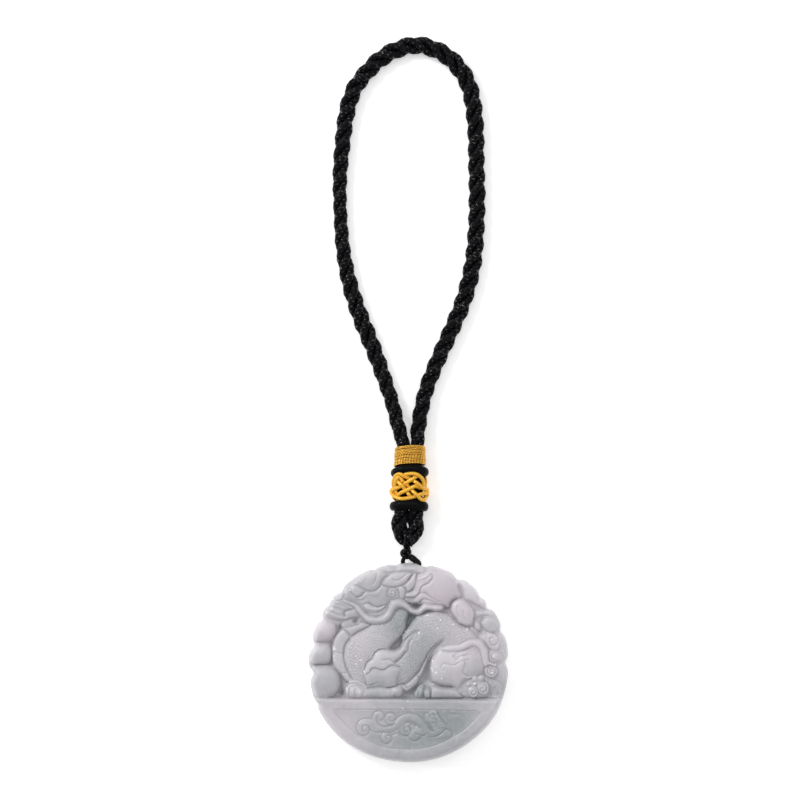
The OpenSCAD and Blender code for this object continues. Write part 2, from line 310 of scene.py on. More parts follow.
# two black rings of thread wound round a core
def wound_ring(name, node, at, turn, half_y, arch, sag, end, out=1.02):
    sk = Skin()
    n = 340
    r = end - HALF - out
    u = np.linspace(0, per_at(r), n + 1)[:-1]
    xz, nr = around(u, r, at[0])
    side = (xz[:, 0] - at[0]) / (HALF + r)
    y = at[1] + math.sin(math.radians(turn)) * (xz[:, 0] - at[0]) + arch * (xz[:, 1] - CORE_Z) / r - sag * side ** 2
    C = np.stack([xz[:, 0], y, xz[:, 1]], 1)
    N = np.stack([nr[:, 0], 0 * u, nr[:, 1]], 1)
    fat = half_y * (1 + 0.03 * side - 0.02 * np.abs(side))
    sk.tube(C, N, out * (1 + 0.02 * np.sin(u * 1.7)), fat, 36, lambda a, s: 1 + 0.003 * np.abs(np.sin(math.pi * s / 0.42 + 1.1 * np.cos(a))) + 0.004 * np.sin(s * 5.1), closed=True)
    ob = sk.build(name)
    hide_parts(node)
    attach(ob, "root")
    return ob


ring_a = wound_ring("ring_above", "upper_ring", (0.29, 53.3), 1.6, 1.24, 0.35, 0.75, 5.27)
ring_b = wound_ring("ring_below", "lower_ring", (0.08, 43.62), -0.6, 1.34, 0.15, 0.42, 5.40)

# woven gold knot: strands as (picture x, picture y, lift), lift 1 over and -1 under
KX, R_K = 0.15, 2.74
HALF_P = per_at(R_K) / 2


def knot_u(px):
    x = (px - CX) * PX - KX
    a = abs(x)
    if a <= HALF:
        return x
    return math.copysign(HALF + R_K * math.asin(min(1.0, (a - HALF) / (R_K + 0.45))), x)


def front(pts):
    return [(knot_u(x), (CY - y) * PX, l) for x, y, l in pts]


def behind(pts):
    return [(u + HALF_P, y, l) for u, y, l in pts]


A = front([(391.6, 482.0, 0.2), (392.9, 478.4, 0.3), (394.9, 475.6, 0.6), (397.8, 474.2, 0.9), (401.2, 474.8, 1), (404.7, 476.8, 1), (408, 478.2, 0.2), (411, 479.7, -1),
           (414.4, 481.6, 0), (417.4, 483.4, 0.9), (420.2, 485.4, 1), (422.6, 487.6, 0.5), (425.2, 489.2, 0.6), (427.6, 490.2, 1.4)])
right_turn = [(HALF + R_K * 1.42, (CY - 491.6) * PX, 1.7)]
G = front([(427.4, 492.9, 1.4), (424.6, 493.8, 0.8), (421.0, 494.6, 0.5), (417.6, 495.8, -0.9), (414.2, 496.9, -0.4), (410.4, 497.8, 0.4), (406.4, 498.5, 0.9), (402.4, 498.9, 1),
           (398.2, 498.5, 1), (394.6, 497.0, 1.0), (391.9, 494.8, 1.3), (390.2, 492.4, 1.7), (390.6, 490.4, 1.6), (393.0, 489.1, 1.1), (396.4, 488.0, 1), (399.4, 487.0, 0),
           (402.6, 485.0, -0.9), (406.6, 482.8, 0.6), (411.2, 480.0, 1), (414.6, 477.8, 0.5), (417.6, 476.4, -0.9), (420.6, 475.8, -0.5)])
Cs = front([(400.2, 478.2, -1.0), (402.8, 476.4, -0.6), (404.6, 475.0, 0.3), (407.6, 474.2, 0.7), (412, 473.8, 0.9), (416.4, 474.4, 1), (420, 476.2, 1), (422.8, 478.8, 0.8), (424.4, 481.8, 0.5), (424.8, 484.6, 0.2), (424.9, 487.4, -0.8)])
D = front([(395.6, 494.6, -1), (394.6, 491.4, -0.6), (394.2, 488.4, -0.9), (394.0, 485.4, 0.3), (394.4, 482.0, 0.8), (396.0, 478.9, 1), (398.2, 477.3, 0.6), (400.6, 479.0, -0.4), (402.8, 482.2, 0.0)])
D2 = front([(400.4, 478.4, 0.3), (403.0, 481.4, -0.8), (406.4, 484.8, -0.2), (408.8, 487.0, -0.9), (411.6, 490.2, -0.3), (414.4, 493.0, 0.8), (417.6, 495.9, 1), (420.4, 498.5, 1), (423.4, 500.2, 0.9),
            (426.0, 499.4, 1.0), (426.8, 496.4, 0.2), (427.4, 492.4, -0.6)])
E = front([(395.9, 480.9, -0.6), (397.6, 482.4, 0.5), (400.0, 484.4, 1), (402.8, 486.8, 1), (404.9, 489.4, 0.2), (406.6, 491.8, -0.9), (408.6, 494.4, 0.4), (410.6, 496.6, -0.9)])
F = front([(395.4, 497.2, -1), (397.6, 495.0, 0), (400.8, 492.9, 0.9), (404.4, 491.4, 1), (408.0, 489.8, 1), (411.8, 487.8, 0.9), (415.2, 486.5, 0.8), (418.8, 487.2, -0.7), (421.4, 488.4, -0.9)])

knot_skin = Skin()


def knot_strand(rows, seed, r=0.51):
    p = smooth(rows, 0.22)
    xz, nr = around(p[:, 0], R_K + 0.40 * np.clip(p[:, 2], -1, 1.8), KX)
    C = np.stack([xz[:, 0], p[:, 1] + 0.05 * (xz[:, 1] - CORE_Z), xz[:, 1]], 1)
    C, _ = evenly(C, max(8, int(len(C) * 1.0)))
    # normals again at the even places
    T = tangents(C)
    half = np.clip(np.abs(C[:, 0] - KX) - HALF, 0, None) * np.sign(C[:, 0] - KX)
    N = unit(np.stack([half, 0 * half, C[:, 2] - CORE_Z], 1))
    knot_skin.tube(C, N, r * 0.94, r * 1.04, 12, lambda a, s: 1 + 0.01 * np.cos(3 * (a - 2 * math.pi * s / 2.4)), seed=seed)


knot_strand(A + right_turn + G, 0.15)
# the other strands run on round the sides into the same weave behind
u_c = [(u, y, l) for u, y, l in Cs]
knot_strand(Cs + [(HALF + R_K * 1.5, (CY - 488.5) * PX, -0.6)] + behind([(u, y, l) for u, y, l in A[:4]]) , 0.55)
knot_strand(D, 0.35)
knot_strand(D2, 0.75)
knot_strand(E, 0.9)
knot_strand(F, 0.25)
for rows, sd in ((A + right_turn + G, 0.45), (Cs, 0.65), (D, 0.85), (D2, 0.2), (E, 0.5), (F, 0.7)):
    knot_strand(behind(rows), sd)
knot_strand([(-(HALF + R_K * 1.66), (CY - 486.6) * PX, -0.4), (-(HALF + R_K * 1.5), (CY - 484.0) * PX, 0.0)] + [(u, y, 0.0) for u, y, l in A[:2]], 0.6)
knot_ob = knot_skin.build("gold_woven_knot")
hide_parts("gold_knot")
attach(knot_ob, "root")

# ---------------------------------------------------------------- thin tie


def fine_braid(a, s):
    return 1 + 0.05 * (np.cos(4 * a + 2 * math.pi * s / 1.9) + np.cos(4 * a - 2 * math.pi * s / 1.9)) * 0.5


crotch, tie_turn = (0.55, 23.5), 0.72
rows = [(-0.95, 29.6, 2.95), (-1.3, 28.9, 2.7), (-1.6, 28.1, 2.45), (-1.45, 27.2, 2.25), (-0.78, 25.3, 2.2)]
rows += [(crotch[0] + tie_turn * math.cos(math.radians(a)), crotch[1] + tie_turn * math.sin(math.radians(a)), 2.2) for a in range(200, 341, 28)]
rows += [(1.88, 25.3, 2.2), (2.75, 26.9, 2.25), (2.4, 27.7, 2.5), (1.7, 28.4, 2.8), (0.75, 29.1, 2.95), (-0.2, 29.7, 3.0)]
tie_skin = Skin()
C, tie_len = evenly(smooth(rows, 0.12), 150)
T, N = carried(C, (0, 0, 1))
fat = 0.6 + 0.3 * np.clip((C[:, 1] - 26.0) / 1.6, 0, 1) * (C[:, 0] > 0.3) * np.clip((30.4 - C[:, 1]) / 1.2, 0, 1)
tie_skin.tube(C, N, fat, fat, 16, fine_braid)
tie_ob = tie_skin.build("tie_through_stone")
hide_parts("tie_string")
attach(tie_ob, "root")

# its small knot: an overhand drawn tight, with a short neck up to the eye's foot
kn_skin = Skin()
t = np.linspace(0, 2 * math.pi, 131)[:-1]
rr = 1 + 0.42 * np.cos(3 * t)
C = np.stack([-0.72 + 0.84 * rr * np.cos(2 * t + 0.9), 30.2 + 0.84 * rr * np.sin(2 * t + 0.9), 2.95 + 0.78 * np.sin(3 * t)], 1)
T, N = carried(C, (0, 0, 1), closed=True)
kn_skin.tube(C, N, 0.52, 0.52, 14, fine_braid, closed=True)
for side in (-1, 1):
    q = np.linspace(-1, 1, 30)
    C = np.stack([-0.5 + 0.05 * q + side * (0.5 - 0.16 * q ** 2), 31.1 + 1.25 * q, 2.75 + 0.55 * np.cos(1.3 * q)], 1)
    kn_skin.tube(C, np.tile([0, 0, 1.0], (30, 1)), 0.52, 0.5, 12, fine_braid, seed=0.4 + 0.2 * side)
kn_ob = kn_skin.build("small_knot")
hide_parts("tie_knot")
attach(kn_ob, "root")

# two thin passes over the eye's foot
pass_skin = Skin()
foot = (EYE_X, EYE_Y - EYE_R, CORE_Z - 0.45)
pass_r = (CORD_D - 0.3) / 2 + 0.28
for side in (-1, 1):
    a = np.radians(np.linspace(0, 360, 91)[:-1])
    C = np.stack([foot[0] + side * (0.3 + 0.75 * (1 - np.cos(a)) / 2) + 0.1, foot[1] + 0.1 + pass_r * np.cos(a), foot[2] + pass_r * np.sin(a)], 1)
    N = unit(np.stack([0 * a, np.cos(a), np.sin(a)], 1))
    pass_skin.tube(C, N, 0.24, 0.3, 10, fine_braid, seed=side * 0.3 + 0.5, closed=True)
pass_ob = pass_skin.build("passes_over_foot")
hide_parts("eye_passes")
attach(pass_ob, "root")

# ---------------------------------------------------------------- relief: helpers

RES = 4
CX0, CY0, CN = 304.0, 558.0, 210
NG = CN * RES
AX = CX0 + (np.arange(NG) + 0.5) / RES
AY = CY0 + (np.arange(NG) + 0.5) / RES


def curve(pts, closed=False, step=1.0):
    """A smooth line through given points."""
    p = np.array([q[:2] for q in pts], float)
    n = len(p)
    if n == 2 and not closed:
        return p
    ext = np.vstack([p[-1], p, p[0], p[1]]) if closed else np.vstack([2 * p[0] - p[1], p, 2 * p[-1] - p[-2]])
    out = []
    for i in range(n if closed else n - 1):
        a, b, c, d = ext[i], ext[i + 1], ext[i + 2], ext[i + 3]
        k = max(1, int(np.hypot(*(c - b)) / step + 0.5))
        t = (np.arange(k) / k)[:, None]
        out.append(0.5 * (2 * b + (c - a) * t + (2 * a - 5 * b + 4 * c - d) * t * t + (3 * b - a - 3 * c + d) * t ** 3))
    out.append(p[:1] if closed else p[-1:])
    return np.vstack(out)


def span(lo, hi, c0):
    return max(0, min(NG, int((lo - c0) * RES))), max(0, min(NG, int((hi - c0) * RES) + 1))


def near_line(line, reach):
    """Window, distance to a line (up to reach) and share of its length."""
    x0, x1 = span(line[:, 0].min() - reach, line[:, 0].max() + reach, CX0)
    y0, y1 = span(line[:, 1].min() - reach, line[:, 1].max() + reach, CY0)
    D = np.full((y1 - y0, x1 - x0), reach * 1.0)
    T = np.zeros_like(D)
    seg = np.hypot(*np.diff(line, axis=0).T)
    acc = np.concatenate([[0], np.cumsum(seg)])
    for i in range(len(seg)):
        a, b = line[i], line[i + 1]
        u0, u1 = span(min(a[0], b[0]) - reach, max(a[0], b[0]) + reach, CX0)
        v0, v1 = span(min(a[1], b[1]) - reach, max(a[1], b[1]) + reach, CY0)
        if u1 <= u0 or v1 <= v0 or seg[i] < 1e-9:
            continue
        X, Y = AX[None, u0:u1], AY[v0:v1, None]
        dx, dy = b - a
        t = np.clip(((X - a[0]) * dx + (Y - a[1]) * dy) / seg[i] ** 2, 0, 1)
        d = np.hypot(X - a[0] - t * dx, Y - a[1] - t * dy)
        s = (slice(v0 - y0, v1 - y0), slice(u0 - x0, u1 - x0))
        m = d < D[s]
        D[s] = np.where(m, d, D[s])
        T[s] = np.where(m, (acc[i] + t * seg[i]) / acc[-1], T[s])
    return (slice(y0, y1), slice(x0, x1)), D, T


def window(line, pad=2.0):
    x0, x1 = span(line[:, 0].min() - pad, line[:, 0].max() + pad, CX0)
    y0, y1 = span(line[:, 1].min() - pad, line[:, 1].max() + pad, CY0)
    return slice(y0, y1), slice(x0, x1)


def inside(line, w):
    """Cells of the window w that lie inside a closed line."""
    m = np.zeros((w[0].stop - w[0].start, w[1].stop - w[1].start), bool)
    a, b = line[:-1], line[1:]
    for j in range(m.shape[0]):
        y = AY[w[0].start + j]
        c = (a[:, 1] <= y) != (b[:, 1] <= y)
        if not c.any():
            continue
        x = np.sort(a[c, 0] + (y - a[c, 1]) / (b[c, 1] - a[c, 1]) * (b[c, 0] - a[c, 0]))
        for k in range(0, len(x) - 1, 2):
            u = int(math.ceil((x[k] - CX0) * RES - 0.5)) - w[1].start
            v = int(math.floor((x[k + 1] - CX0) * RES - 0.5)) + 1 - w[1].start
            m[j, max(0, u):max(0, v)] = True
    return m


def blur(a, s):
    """Gaussian blur, s in chart units."""
    s *= RES
    if s <= 0.01:
        return a
    r = max(1, int(2.6 * s + 0.5))
    k = np.exp(-0.5 * (np.arange(-r, r + 1) / s) ** 2)
    k /= k.sum()
    for ax in (0, 1):
        p = np.pad(a, [(r, r) if i == ax else (0, 0) for i in (0, 1)], mode="edge")
        o = np.zeros_like(a)
        for i, w in enumerate(k):
            o += w * (p[i:i + a.shape[0]] if ax == 0 else p[:, i:i + a.shape[1]])
        a = o
    return a


def puff(m):
    """A soap-film dome over a mask, 0 at its edge and 1 at its crown."""
    q = max(1, int(math.sqrt(m.size / 2600.0)))
    h, w = (m.shape[0] // q + 1) * q, (m.shape[1] // q + 1) * q
    big = np.zeros((h, w))
    big[:m.shape[0], :m.shape[1]] = m
    c = big.reshape(h // q, q, w // q, q).mean((1, 3))
    c = np.pad(c, 1)
    on = c > 0.5
    u = np.zeros_like(c)
    jj, ii = np.indices(c.shape)
    red = (jj + ii) % 2 == 0
    n = max(on.sum(), 4)
    om = 2 / (1 + math.sin(math.pi / max(6.0, math.sqrt(n) * 1.1)))
    om = min(om, 1.92)
    for _ in range(150):
        for col in (red, ~red):
            nb = 0.25 * (np.roll(u, 1, 0) + np.roll(u, -1, 0) + np.roll(u, 1, 1) + np.roll(u, -1, 1) + 1)
            u = np.where(col & on, u + om * (nb - u), u)
        u[~on] = 0
    u = np.maximum(u, 0)
    u /= max(u.max(), 1e-9)
    y = (np.arange(m.shape[0]) + 0.5) / q + 0.5
    x = (np.arange(m.shape[1]) + 0.5) / q + 0.5
    yi, xi = y.astype(int), x.astype(int)
    fy, fx = (y - yi)[:, None], (x - xi)[None, :]
    A, B = u[yi][:, xi], u[yi][:, np.minimum(xi + 1, u.shape[1] - 1)]
    yj = np.minimum(yi + 1, u.shape[0] - 1)
    C, E = u[yj][:, xi], u[yj][:, np.minimum(xi + 1, u.shape[1] - 1)]
    v = A * (1 - fy) * (1 - fx) + B * (1 - fy) * fx + C * fy * (1 - fx) + E * fy * fx
    return np.sqrt(np.clip(v, 0, 1))


class Relief:
    def __init__(self, z):
        self.H = np.full((NG, NG), float(z))
        self.frost = np.zeros((NG, NG))
        self.fine = np.zeros((NG, NG))
        self.tint = np.zeros((NG, NG))
        # chart of painted shade: colour darkened along engraved lines, scale borders and deep gaps
        self.painted_shade = np.zeros((NG, NG))

    def mass(self, pts, side, crown=0.0, edge=3.0, floor=5.0, k=2.0, tilt=(0.0, 0.0), mode="over", soft=0.35, frost=None, milk=0.0):
        """A raised mass inside a closed outline: side is its height at the wall, crown the rise to its middle."""
        line = curve(pts, closed=True)
        w = window(line)
        m = inside(line, w)
        full = np.full((NG, NG), float(edge))
        ww, D, _ = near_line(line, edge)
        full[ww] = D
        t = np.clip(full[w] / edge, 0, 1)
        f = (1 - (1 - t) ** k) ** (1 / k)
        ys, xs = np.where(m)
        cx, cy = AX[w[1].start] + xs.mean() / RES, AY[w[0].start] + ys.mean() / RES
        tp = side + tilt[0] * (AX[None, w[1]] - cx) + tilt[1] * (AY[w[0], None] - cy)
        h = floor + (tp - floor) * f
        if crown:
            h = h + crown * puff(m)
        if soft > 0:
            mm = m.astype(float)
            h = blur(h * mm, soft) / np.maximum(blur(mm, soft), 1e-3)
        old = self.H[w]
        new = h if mode == "over" else np.maximum(old, h)
        self.put(w, m, old, new, milk)
        if frost is not None:
            self.frost[w] = np.where(m, frost, self.frost[w])
        return w, m

    def put(self, w, m, old, new, milk=0.0):
        """Lays a new surface over the old one; fine work and painted shade that it covers are gone, and its milkiness
        is its own.
        """
        gone = m & (new != old)
        self.H[w] = np.where(m, new, old)
        self.fine[w] = np.where(gone, 0, self.fine[w])
        self.painted_shade[w] = np.where(gone, 0, self.painted_shade[w])
        self.frost[w] = np.where(gone, 0, self.frost[w])
        self.tint[w] = np.where(gone, milk, self.tint[w])

    def ridge(self, pts, top, width, floor=5.0, taper=0.0, mode="over", k=2.0, smooth=0.0):
        """A raised round strip along a line; top and width may be tables of (share, value)."""
        line = curve(pts)
        ws = width if isinstance(width, (list, tuple)) else [(0, width), (1, width)]
        wmax = max(q[1] for q in ws)
        w, D, T = near_line(line, wmax / 2 + 0.5)
        half = np.interp(T, [q[0] for q in ws], [q[1] / 2 for q in ws])
        if taper:
            half = half * np.clip(np.minimum(T, 1 - T) / taper, 0.02, 1) ** 0.5
        tt = np.interp(T, [q[0] for q in top], [q[1] for q in top]) if isinstance(top, (list, tuple)) else top
        t = np.clip(1 - D / np.maximum(half, 1e-3), 0, 1)
        f = (1 - (1 - t) ** k) ** (1 / k)
        fl = self.H[w] if floor is None else floor
        h = fl + (tt - fl) * f
        m = D < half
        old = self.H[w]
        new = h if mode == "over" else np.maximum(old, h)
        self.put(w, m, old, new)
        return w, m

    def melt(self, x, y, r, s, share=0.85):
        """Lets an outline die away round a place."""
        w, q = self._q(x, y, r, None, 0.0)
        a = np.exp(-q ** 4) * share
        self.H[w] = self.H[w] * (1 - a) + a * blur(self.H[w], s)

    def groove(self, pts, depth=0.4, width=1.0, taper=0.12, closed=False):
        line = curve(pts, closed=closed)
        w, D, T = near_line(line, width * 2.6)
        f = np.exp(-(D / width) ** 2)
        if taper and not closed:
            f = f * np.clip(np.minimum(T, 1 - T) / taper, 0, 1) ** 0.6
        self.H[w] -= depth * f

    def shade(self, pts, amount=0.6, width=0.55, taper=0.03):
        """Painted shade: darkens the colour along a fine engraved line."""
        line = curve(pts)
        w, D, T = near_line(line, width * 3)
        f = amount * np.exp(-(D / width) ** 2) * np.clip(np.minimum(T, 1 - T) / taper, 0, 1)
        self.painted_shade[w] = np.maximum(self.painted_shade[w], f)

    def welt(self, pts, height=0.3, width=1.0, taper=0.12, closed=False):
        self.groove(pts, -height, width, taper, closed)

    def _q(self, x, y, r, ry, turn):
        ry = ry or r
        g = 3.0 * max(r, ry)
        w = (slice(*span(y - g, y + g, CY0)), slice(*span(x - g, x + g, CX0)))
        X, Y = AX[None, w[1]] - x, AY[w[0], None] - y
        c, s = math.cos(math.radians(turn)), math.sin(math.radians(turn))
        return w, np.sqrt(((X * c + Y * s) / r) ** 2 + ((Y * c - X * s) / ry) ** 2)

    def pit(self, x, y, r, depth, ry=None, turn=0.0):
        w, q = self._q(x, y, r, ry, turn)
        self.H[w] -= depth * np.exp(-q ** 3)

    def bump(self, x, y, r, h, ry=None, turn=0.0):
        w, q = self._q(x, y, r, ry, turn)
        self.H[w] += h * np.exp(-q ** 2.2)

    def dome(self, x, y, r, top, ry=None, turn=0.0, floor=5.0, k=2.0, mode="over"):
        w, q = self._q(x, y, r, ry, turn)
        h = floor + (top - floor) * (1 - np.clip(q, 0, 1) ** k) ** (1 / k)
        old = self.H[w]
        new = h if mode == "over" else np.maximum(old, h)
        self.put(w, q < 1, old, new)

    def spiral(self, x, y, r0, r1, turns, start, depth=0.35, width=0.8, hand=1):
        n = int(abs(turns) * 14) + 3
        a = np.radians(start) + hand * np.linspace(0, turns * 2 * math.pi, n)
        r = np.linspace(r0, r1, n)
        self.groove(list(zip(x + r * np.cos(a), y + r * np.sin(a))), depth, width, taper=0.05)

    def scales(self, pts, spine, pitch=3.2, depth=0.12, along=3.0):
        """Rows of small lapped scales inside a closed outline, laid along a spine line."""
        line = curve(pts, closed=True)
        w = window(line)
        m = inside(line, w)
        sp = curve(spine, step=0.8)
        seg = np.hypot(*np.diff(sp, axis=0).T)
        acc = np.concatenate([[0], np.cumsum(seg)])
        X = np.broadcast_to(AX[None, w[1]], m.shape)[m]
        Y = np.broadcast_to(AY[w[0], None], m.shape)[m]
        best = np.full(X.shape, 1e9)
        S = np.zeros_like(best)
        V = np.zeros_like(best)
        for i in range(len(seg)):
            dx, dy = (sp[i + 1] - sp[i]) / seg[i]
            t = (X - sp[i, 0]) * dx + (Y - sp[i, 1]) * dy
            lo = 0 if i else -1e9
            hi = seg[i] if i < len(seg) - 1 else 1e9
            tc = np.clip(t, lo, hi)
            d = np.hypot(X - sp[i, 0] - tc * dx, Y - sp[i, 1] - tc * dy)
            n = (X - sp[i, 0]) * (-dy) + (Y - sp[i, 1]) * dx
            c = d < best
            best = np.where(c, d, best)
            S = np.where(c, acc[i] + tc, S)
            V = np.where(c, np.sign(n) * d, V)
        u = S / along + 0.22 * np.sin(0.9 * X + 0.5 * Y) * np.sin(0.7 * Y - 0.3 * X + 1.0)
        v = V / pitch + 0.16 * np.sin(0.8 * Y + 0.4 * X + 2.0) * np.sin(0.75 * X - 0.2 * Y)
        near = np.full_like(u, 9.0)
        second = near.copy()
        for du in (-1, 0, 1):
            row = np.round(u) + du
            for dv in (-0.5, 0.5):
                vc = np.floor(v - (row % 2) * 0.5 + (0.5 if dv > 0 else 0.0)) + (0.0 if dv > 0 else 0.0) + (row % 2) * 0.5
                for side in ((0.0, 1.0) if dv < 0 else (0.0,)):
                    c = vc + side
                    wob = 0.13 * np.sin(c * 5.1 + row * 2.7)
                    d = np.hypot((u - row - wob) * along * 1.06, (v - c - 0.12 * np.sin(c * 2.3 - row * 4.1)) * pitch)
                    same = np.abs(d - near) < 1e-9
                    second = np.where(same, second, np.where(d < near, near, np.minimum(second, d)))
                    near = np.minimum(near, d)
        rim = second - near
        h = 0.42 * (1 - np.clip(near / (0.62 * pitch), 0, 1) ** 2) - 0.62 * np.exp(-(rim / (0.17 * pitch)) ** 2)
        out = np.zeros(m.shape)
        out[m] = h
        out = blur(out, 0.14)
        e = np.full((NG, NG), 2.0)
        ww, D, _ = near_line(line, 2.0)
        e[ww] = D
        out *= np.clip(e[w] / 1.5, 0, 1)
        self.fine[w] += np.where(m, depth * out, 0)
        # painted shade: the net of borders between scales is darkened in the colour
        net = np.zeros(m.shape)
        net[m] = np.exp(-(rim / (0.15 * pitch)) ** 2) * (0.55 + 0.3 * np.sin(0.21 * X + 0.4) * np.sin(0.17 * Y + 1.3))
        net *= np.clip(e[w] / 1.2, 0, 1)
        self.painted_shade[w] = np.maximum(self.painted_shade[w], blur(net, 0.12))


# ---------------------------------------------------------------- relief: the carving
R = Relief(4.7)

# ---- rim: scalloped edge lumps on both sides
R.mass([(308, 640), (310, 622), (316, 606), (324, 592), (334, 580), (346, 571), (360, 564), (378, 559), (400, 557), (422, 558), (424, 572), (410, 600), (380, 616), (345, 622), (338, 630), (330, 646), (318, 650)], 5.9, 0.3, 3.0, soft=0.8)
R.mass([(455, 575), (463, 572), (475, 575), (486, 590), (498, 603), (506, 620), (509, 640), (511, 662), (510, 682), (505, 698), (488, 697), (486, 684), (480, 676), (486, 668), (484, 650), (479, 637), (470, 630), (472, 612), (463, 600), (456, 592)], 5.7, 0.3, 3.0, soft=0.8)

# ---- boulder, upper right
R.mass([(423, 570), (430, 566.5), (440, 565), (449, 568), (455, 574), (457.5, 579.7), (458.6, 583.4), (459.7, 587.9), (461.2, 591.6), (462.3, 594.6), (459.7, 597.6), (455.3, 598.2), (452.3, 600), (450, 603), (449, 606.5), (444, 606), (436, 604), (430, 604.5), (422, 604), (415, 600), (412, 590), (414, 578)], 6.5, 1.5, 3.5, soft=0.5, k=2.2, milk=0.08)
R.groove([(448.9, 608.8), (450, 602.1), (452.3, 599.1), (455.3, 597.2), (459.7, 597.2), (462.5, 595.2), (461.2, 591.6), (459.7, 587.9), (457.5, 579.7)], 0.25, 1.0)

# ---- cloud lumps at the right edge
R.mass([(459, 580.5), (462.5, 576), (468, 575.5), (475, 579.5), (482, 588), (486, 594), (489, 600), (487, 607), (482, 608.5), (476, 605), (471, 602), (466, 599.5), (463.5, 596), (462.3, 590), (460.5, 585)], 6.3, 1.0, 2.6, soft=0.4, milk=0.45)
R.groove([(474, 582), (476.5, 588), (480.5, 594.5), (481, 600)], 0.12, 1.6)
R.groove([(462.7, 597.6), (465.7, 599.8), (469.4, 602.1), (471.7, 603.5), (475, 605)], 0.45, 0.9)
R.groove([(478.4, 604.6), (480.5, 607.2), (483.5, 608.8), (487, 609.5)], 0.5, 0.9)
R.mass([(476, 610), (482, 609.5), (488, 610), (494, 608), (499, 613), (503, 621), (504, 630), (500, 633), (496, 628), (494, 620), (488, 615.5), (481, 616), (477, 618), (475, 613)], 6.0, 0.7, 2.2, soft=0.4, milk=0.4)

# flame oval
R.mass([(451.5, 603.5), (453.8, 600.6), (459.7, 597.9), (465, 599.8), (470.2, 604.3), (473.5, 608.8), (474.7, 614.7), (473.5, 620.7), (471.7, 624.5), (467.2, 625.6), (462, 624.1), (458.2, 622.2), (455.6, 618.5), (453.8, 616.2), (450.8, 612.5), (450.4, 608)], 6.9, 0.9, 2.2, soft=0.3, milk=0.3)
R.groove([(457.5, 604.3), (456.5, 608.8), (458, 613.6), (461, 617.5)], 0.28, 0.7)
R.groove([(463.5, 609.2), (462.9, 614), (465, 617.9), (468.6, 620.4)], 0.32, 0.75)
R.groove([(460.5, 602.5), (466.5, 604), (470, 608.5), (470.6, 614.5), (468.6, 618)], 0.16, 0.8)
R.groove([(450.8, 609), (451.5, 612.8), (454.9, 617), (457.5, 620.5)], 0.45, 0.9)

# oval curl and the small lump under it
R.mass([(484, 617), (488.5, 615), (493.5, 616), (497, 620.5), (497.6, 626), (495, 631), (489.5, 632.3), (484.5, 629.5), (481.8, 625), (481.8, 620.5)], 6.4, 0.9, 2.4, soft=0.3, milk=0.3)
R.groove([(482.9, 616.2), (481.4, 619.2), (480.6, 623), (481.8, 626.7), (484, 628.9), (488, 631.6)], 0.5, 0.9)
R.mass([(474, 621.5), (477.5, 620.6), (480.4, 624), (481.5, 628.5), (479.6, 631), (475.9, 629.6), (473.6, 626.5)], 6.2, 0.5, 1.8, soft=0.3)
R.groove([(473.5, 623.7), (473.9, 627.4), (476.2, 630), (479.1, 631.5), (482, 631)], 0.45, 0.9)
R.pit(479.9, 633.2, 2.3, 0.9)
R.pit(474.5, 618, 1.6, 0.4)

# ---- left beads
R.mass([(315, 623), (320, 620.3), (326.5, 620.2), (333, 621.3), (336.8, 624.6), (336.4, 630.8), (334.2, 635.2), (331.4, 638.7), (327.6, 640.9), (321, 641.6), (315.5, 641.2), (311.5, 638.5), (311, 632), (312.3, 627)], 6.1, 1.6, 2.6, soft=0.4, milk=0.2)
R.mass([(310.5, 644.8), (315, 642.6), (322, 642.6), (328, 643.4), (330.8, 647.4), (331.4, 653.5), (330.6, 660), (327.2, 663.3), (320, 663.6), (313.5, 663.2), (308.5, 659.8), (307.5, 652)], 6.0, 1.6, 2.6, soft=0.4, milk=0.35)
R.mass([(311.5, 668.6), (316, 665.4), (326, 664.4), (330.9, 665.5), (334.4, 668.2), (337.9, 672.4), (340, 676.6), (340.7, 680.8), (340.2, 685.7), (338.3, 690.4), (335.1, 694.2), (330, 696.5), (322, 697.2), (316, 696), (312, 690), (309.5, 682), (309.5, 674)], 6.2, 1.9, 3.4, soft=0.4, milk=0.12)
for p, d in (([(310, 641.9), (316, 642), (324.6, 642), (329.5, 642.3)], 0.5), ([(308, 664), (316, 664.3), (324, 664), (329.5, 663.2)], 0.45),
             ([(336.9, 623.5), (336.9, 630.8), (334.6, 635.4), (331.4, 640.2), (331.3, 645.5), (332, 653), (331.2, 659.5), (331, 664.5)], 0.55)):
    R.groove(p, d, 0.9, taper=0.05)
R.pit(339.8, 627.8, 2.5, 1.3)
R.pit(330.4, 642.6, 2.1, 0.9)
R.pit(330.2, 663.0, 1.9, 0.7)

# ---- neck, scaled
neck = [(349, 612), (354, 609), (363, 616), (374, 620), (385, 618), (392, 610), (399, 606), (406, 608), (408.3, 613.3), (407.2, 617.5), (406.5, 621), (406.9, 625.2), (405.8, 628.7), (403, 632.9), (400.9, 636.4), (396.7, 639.9), (393.2, 643.4), (390.5, 647), (386, 653), (378, 662), (370, 672), (365, 684), (353.3, 679), (351.6, 677.1), (349.8, 674.3), (348.1, 670.8), (346.3, 667.3), (345.3, 663.8), (344.2, 658.9), (343.9, 656), (344.1, 650.4), (344.9, 646.2), (346.3, 642.7), (348.4, 639.9), (350.9, 636.4), (354, 634), (358.2, 631.2), (363.1, 629), (366.6, 627), (370.1, 624.9), (370.5, 623.5), (362, 621)]
R.mass(neck, 6.3, 1.5, 3.0, floor=4.7, soft=0.5, frost=1.0)
R.scales(neck, [(403, 606), (397, 619), (386, 631), (372, 641), (361, 653), (357, 668), (360, 684)], 3.2, 0.15, 2.8)
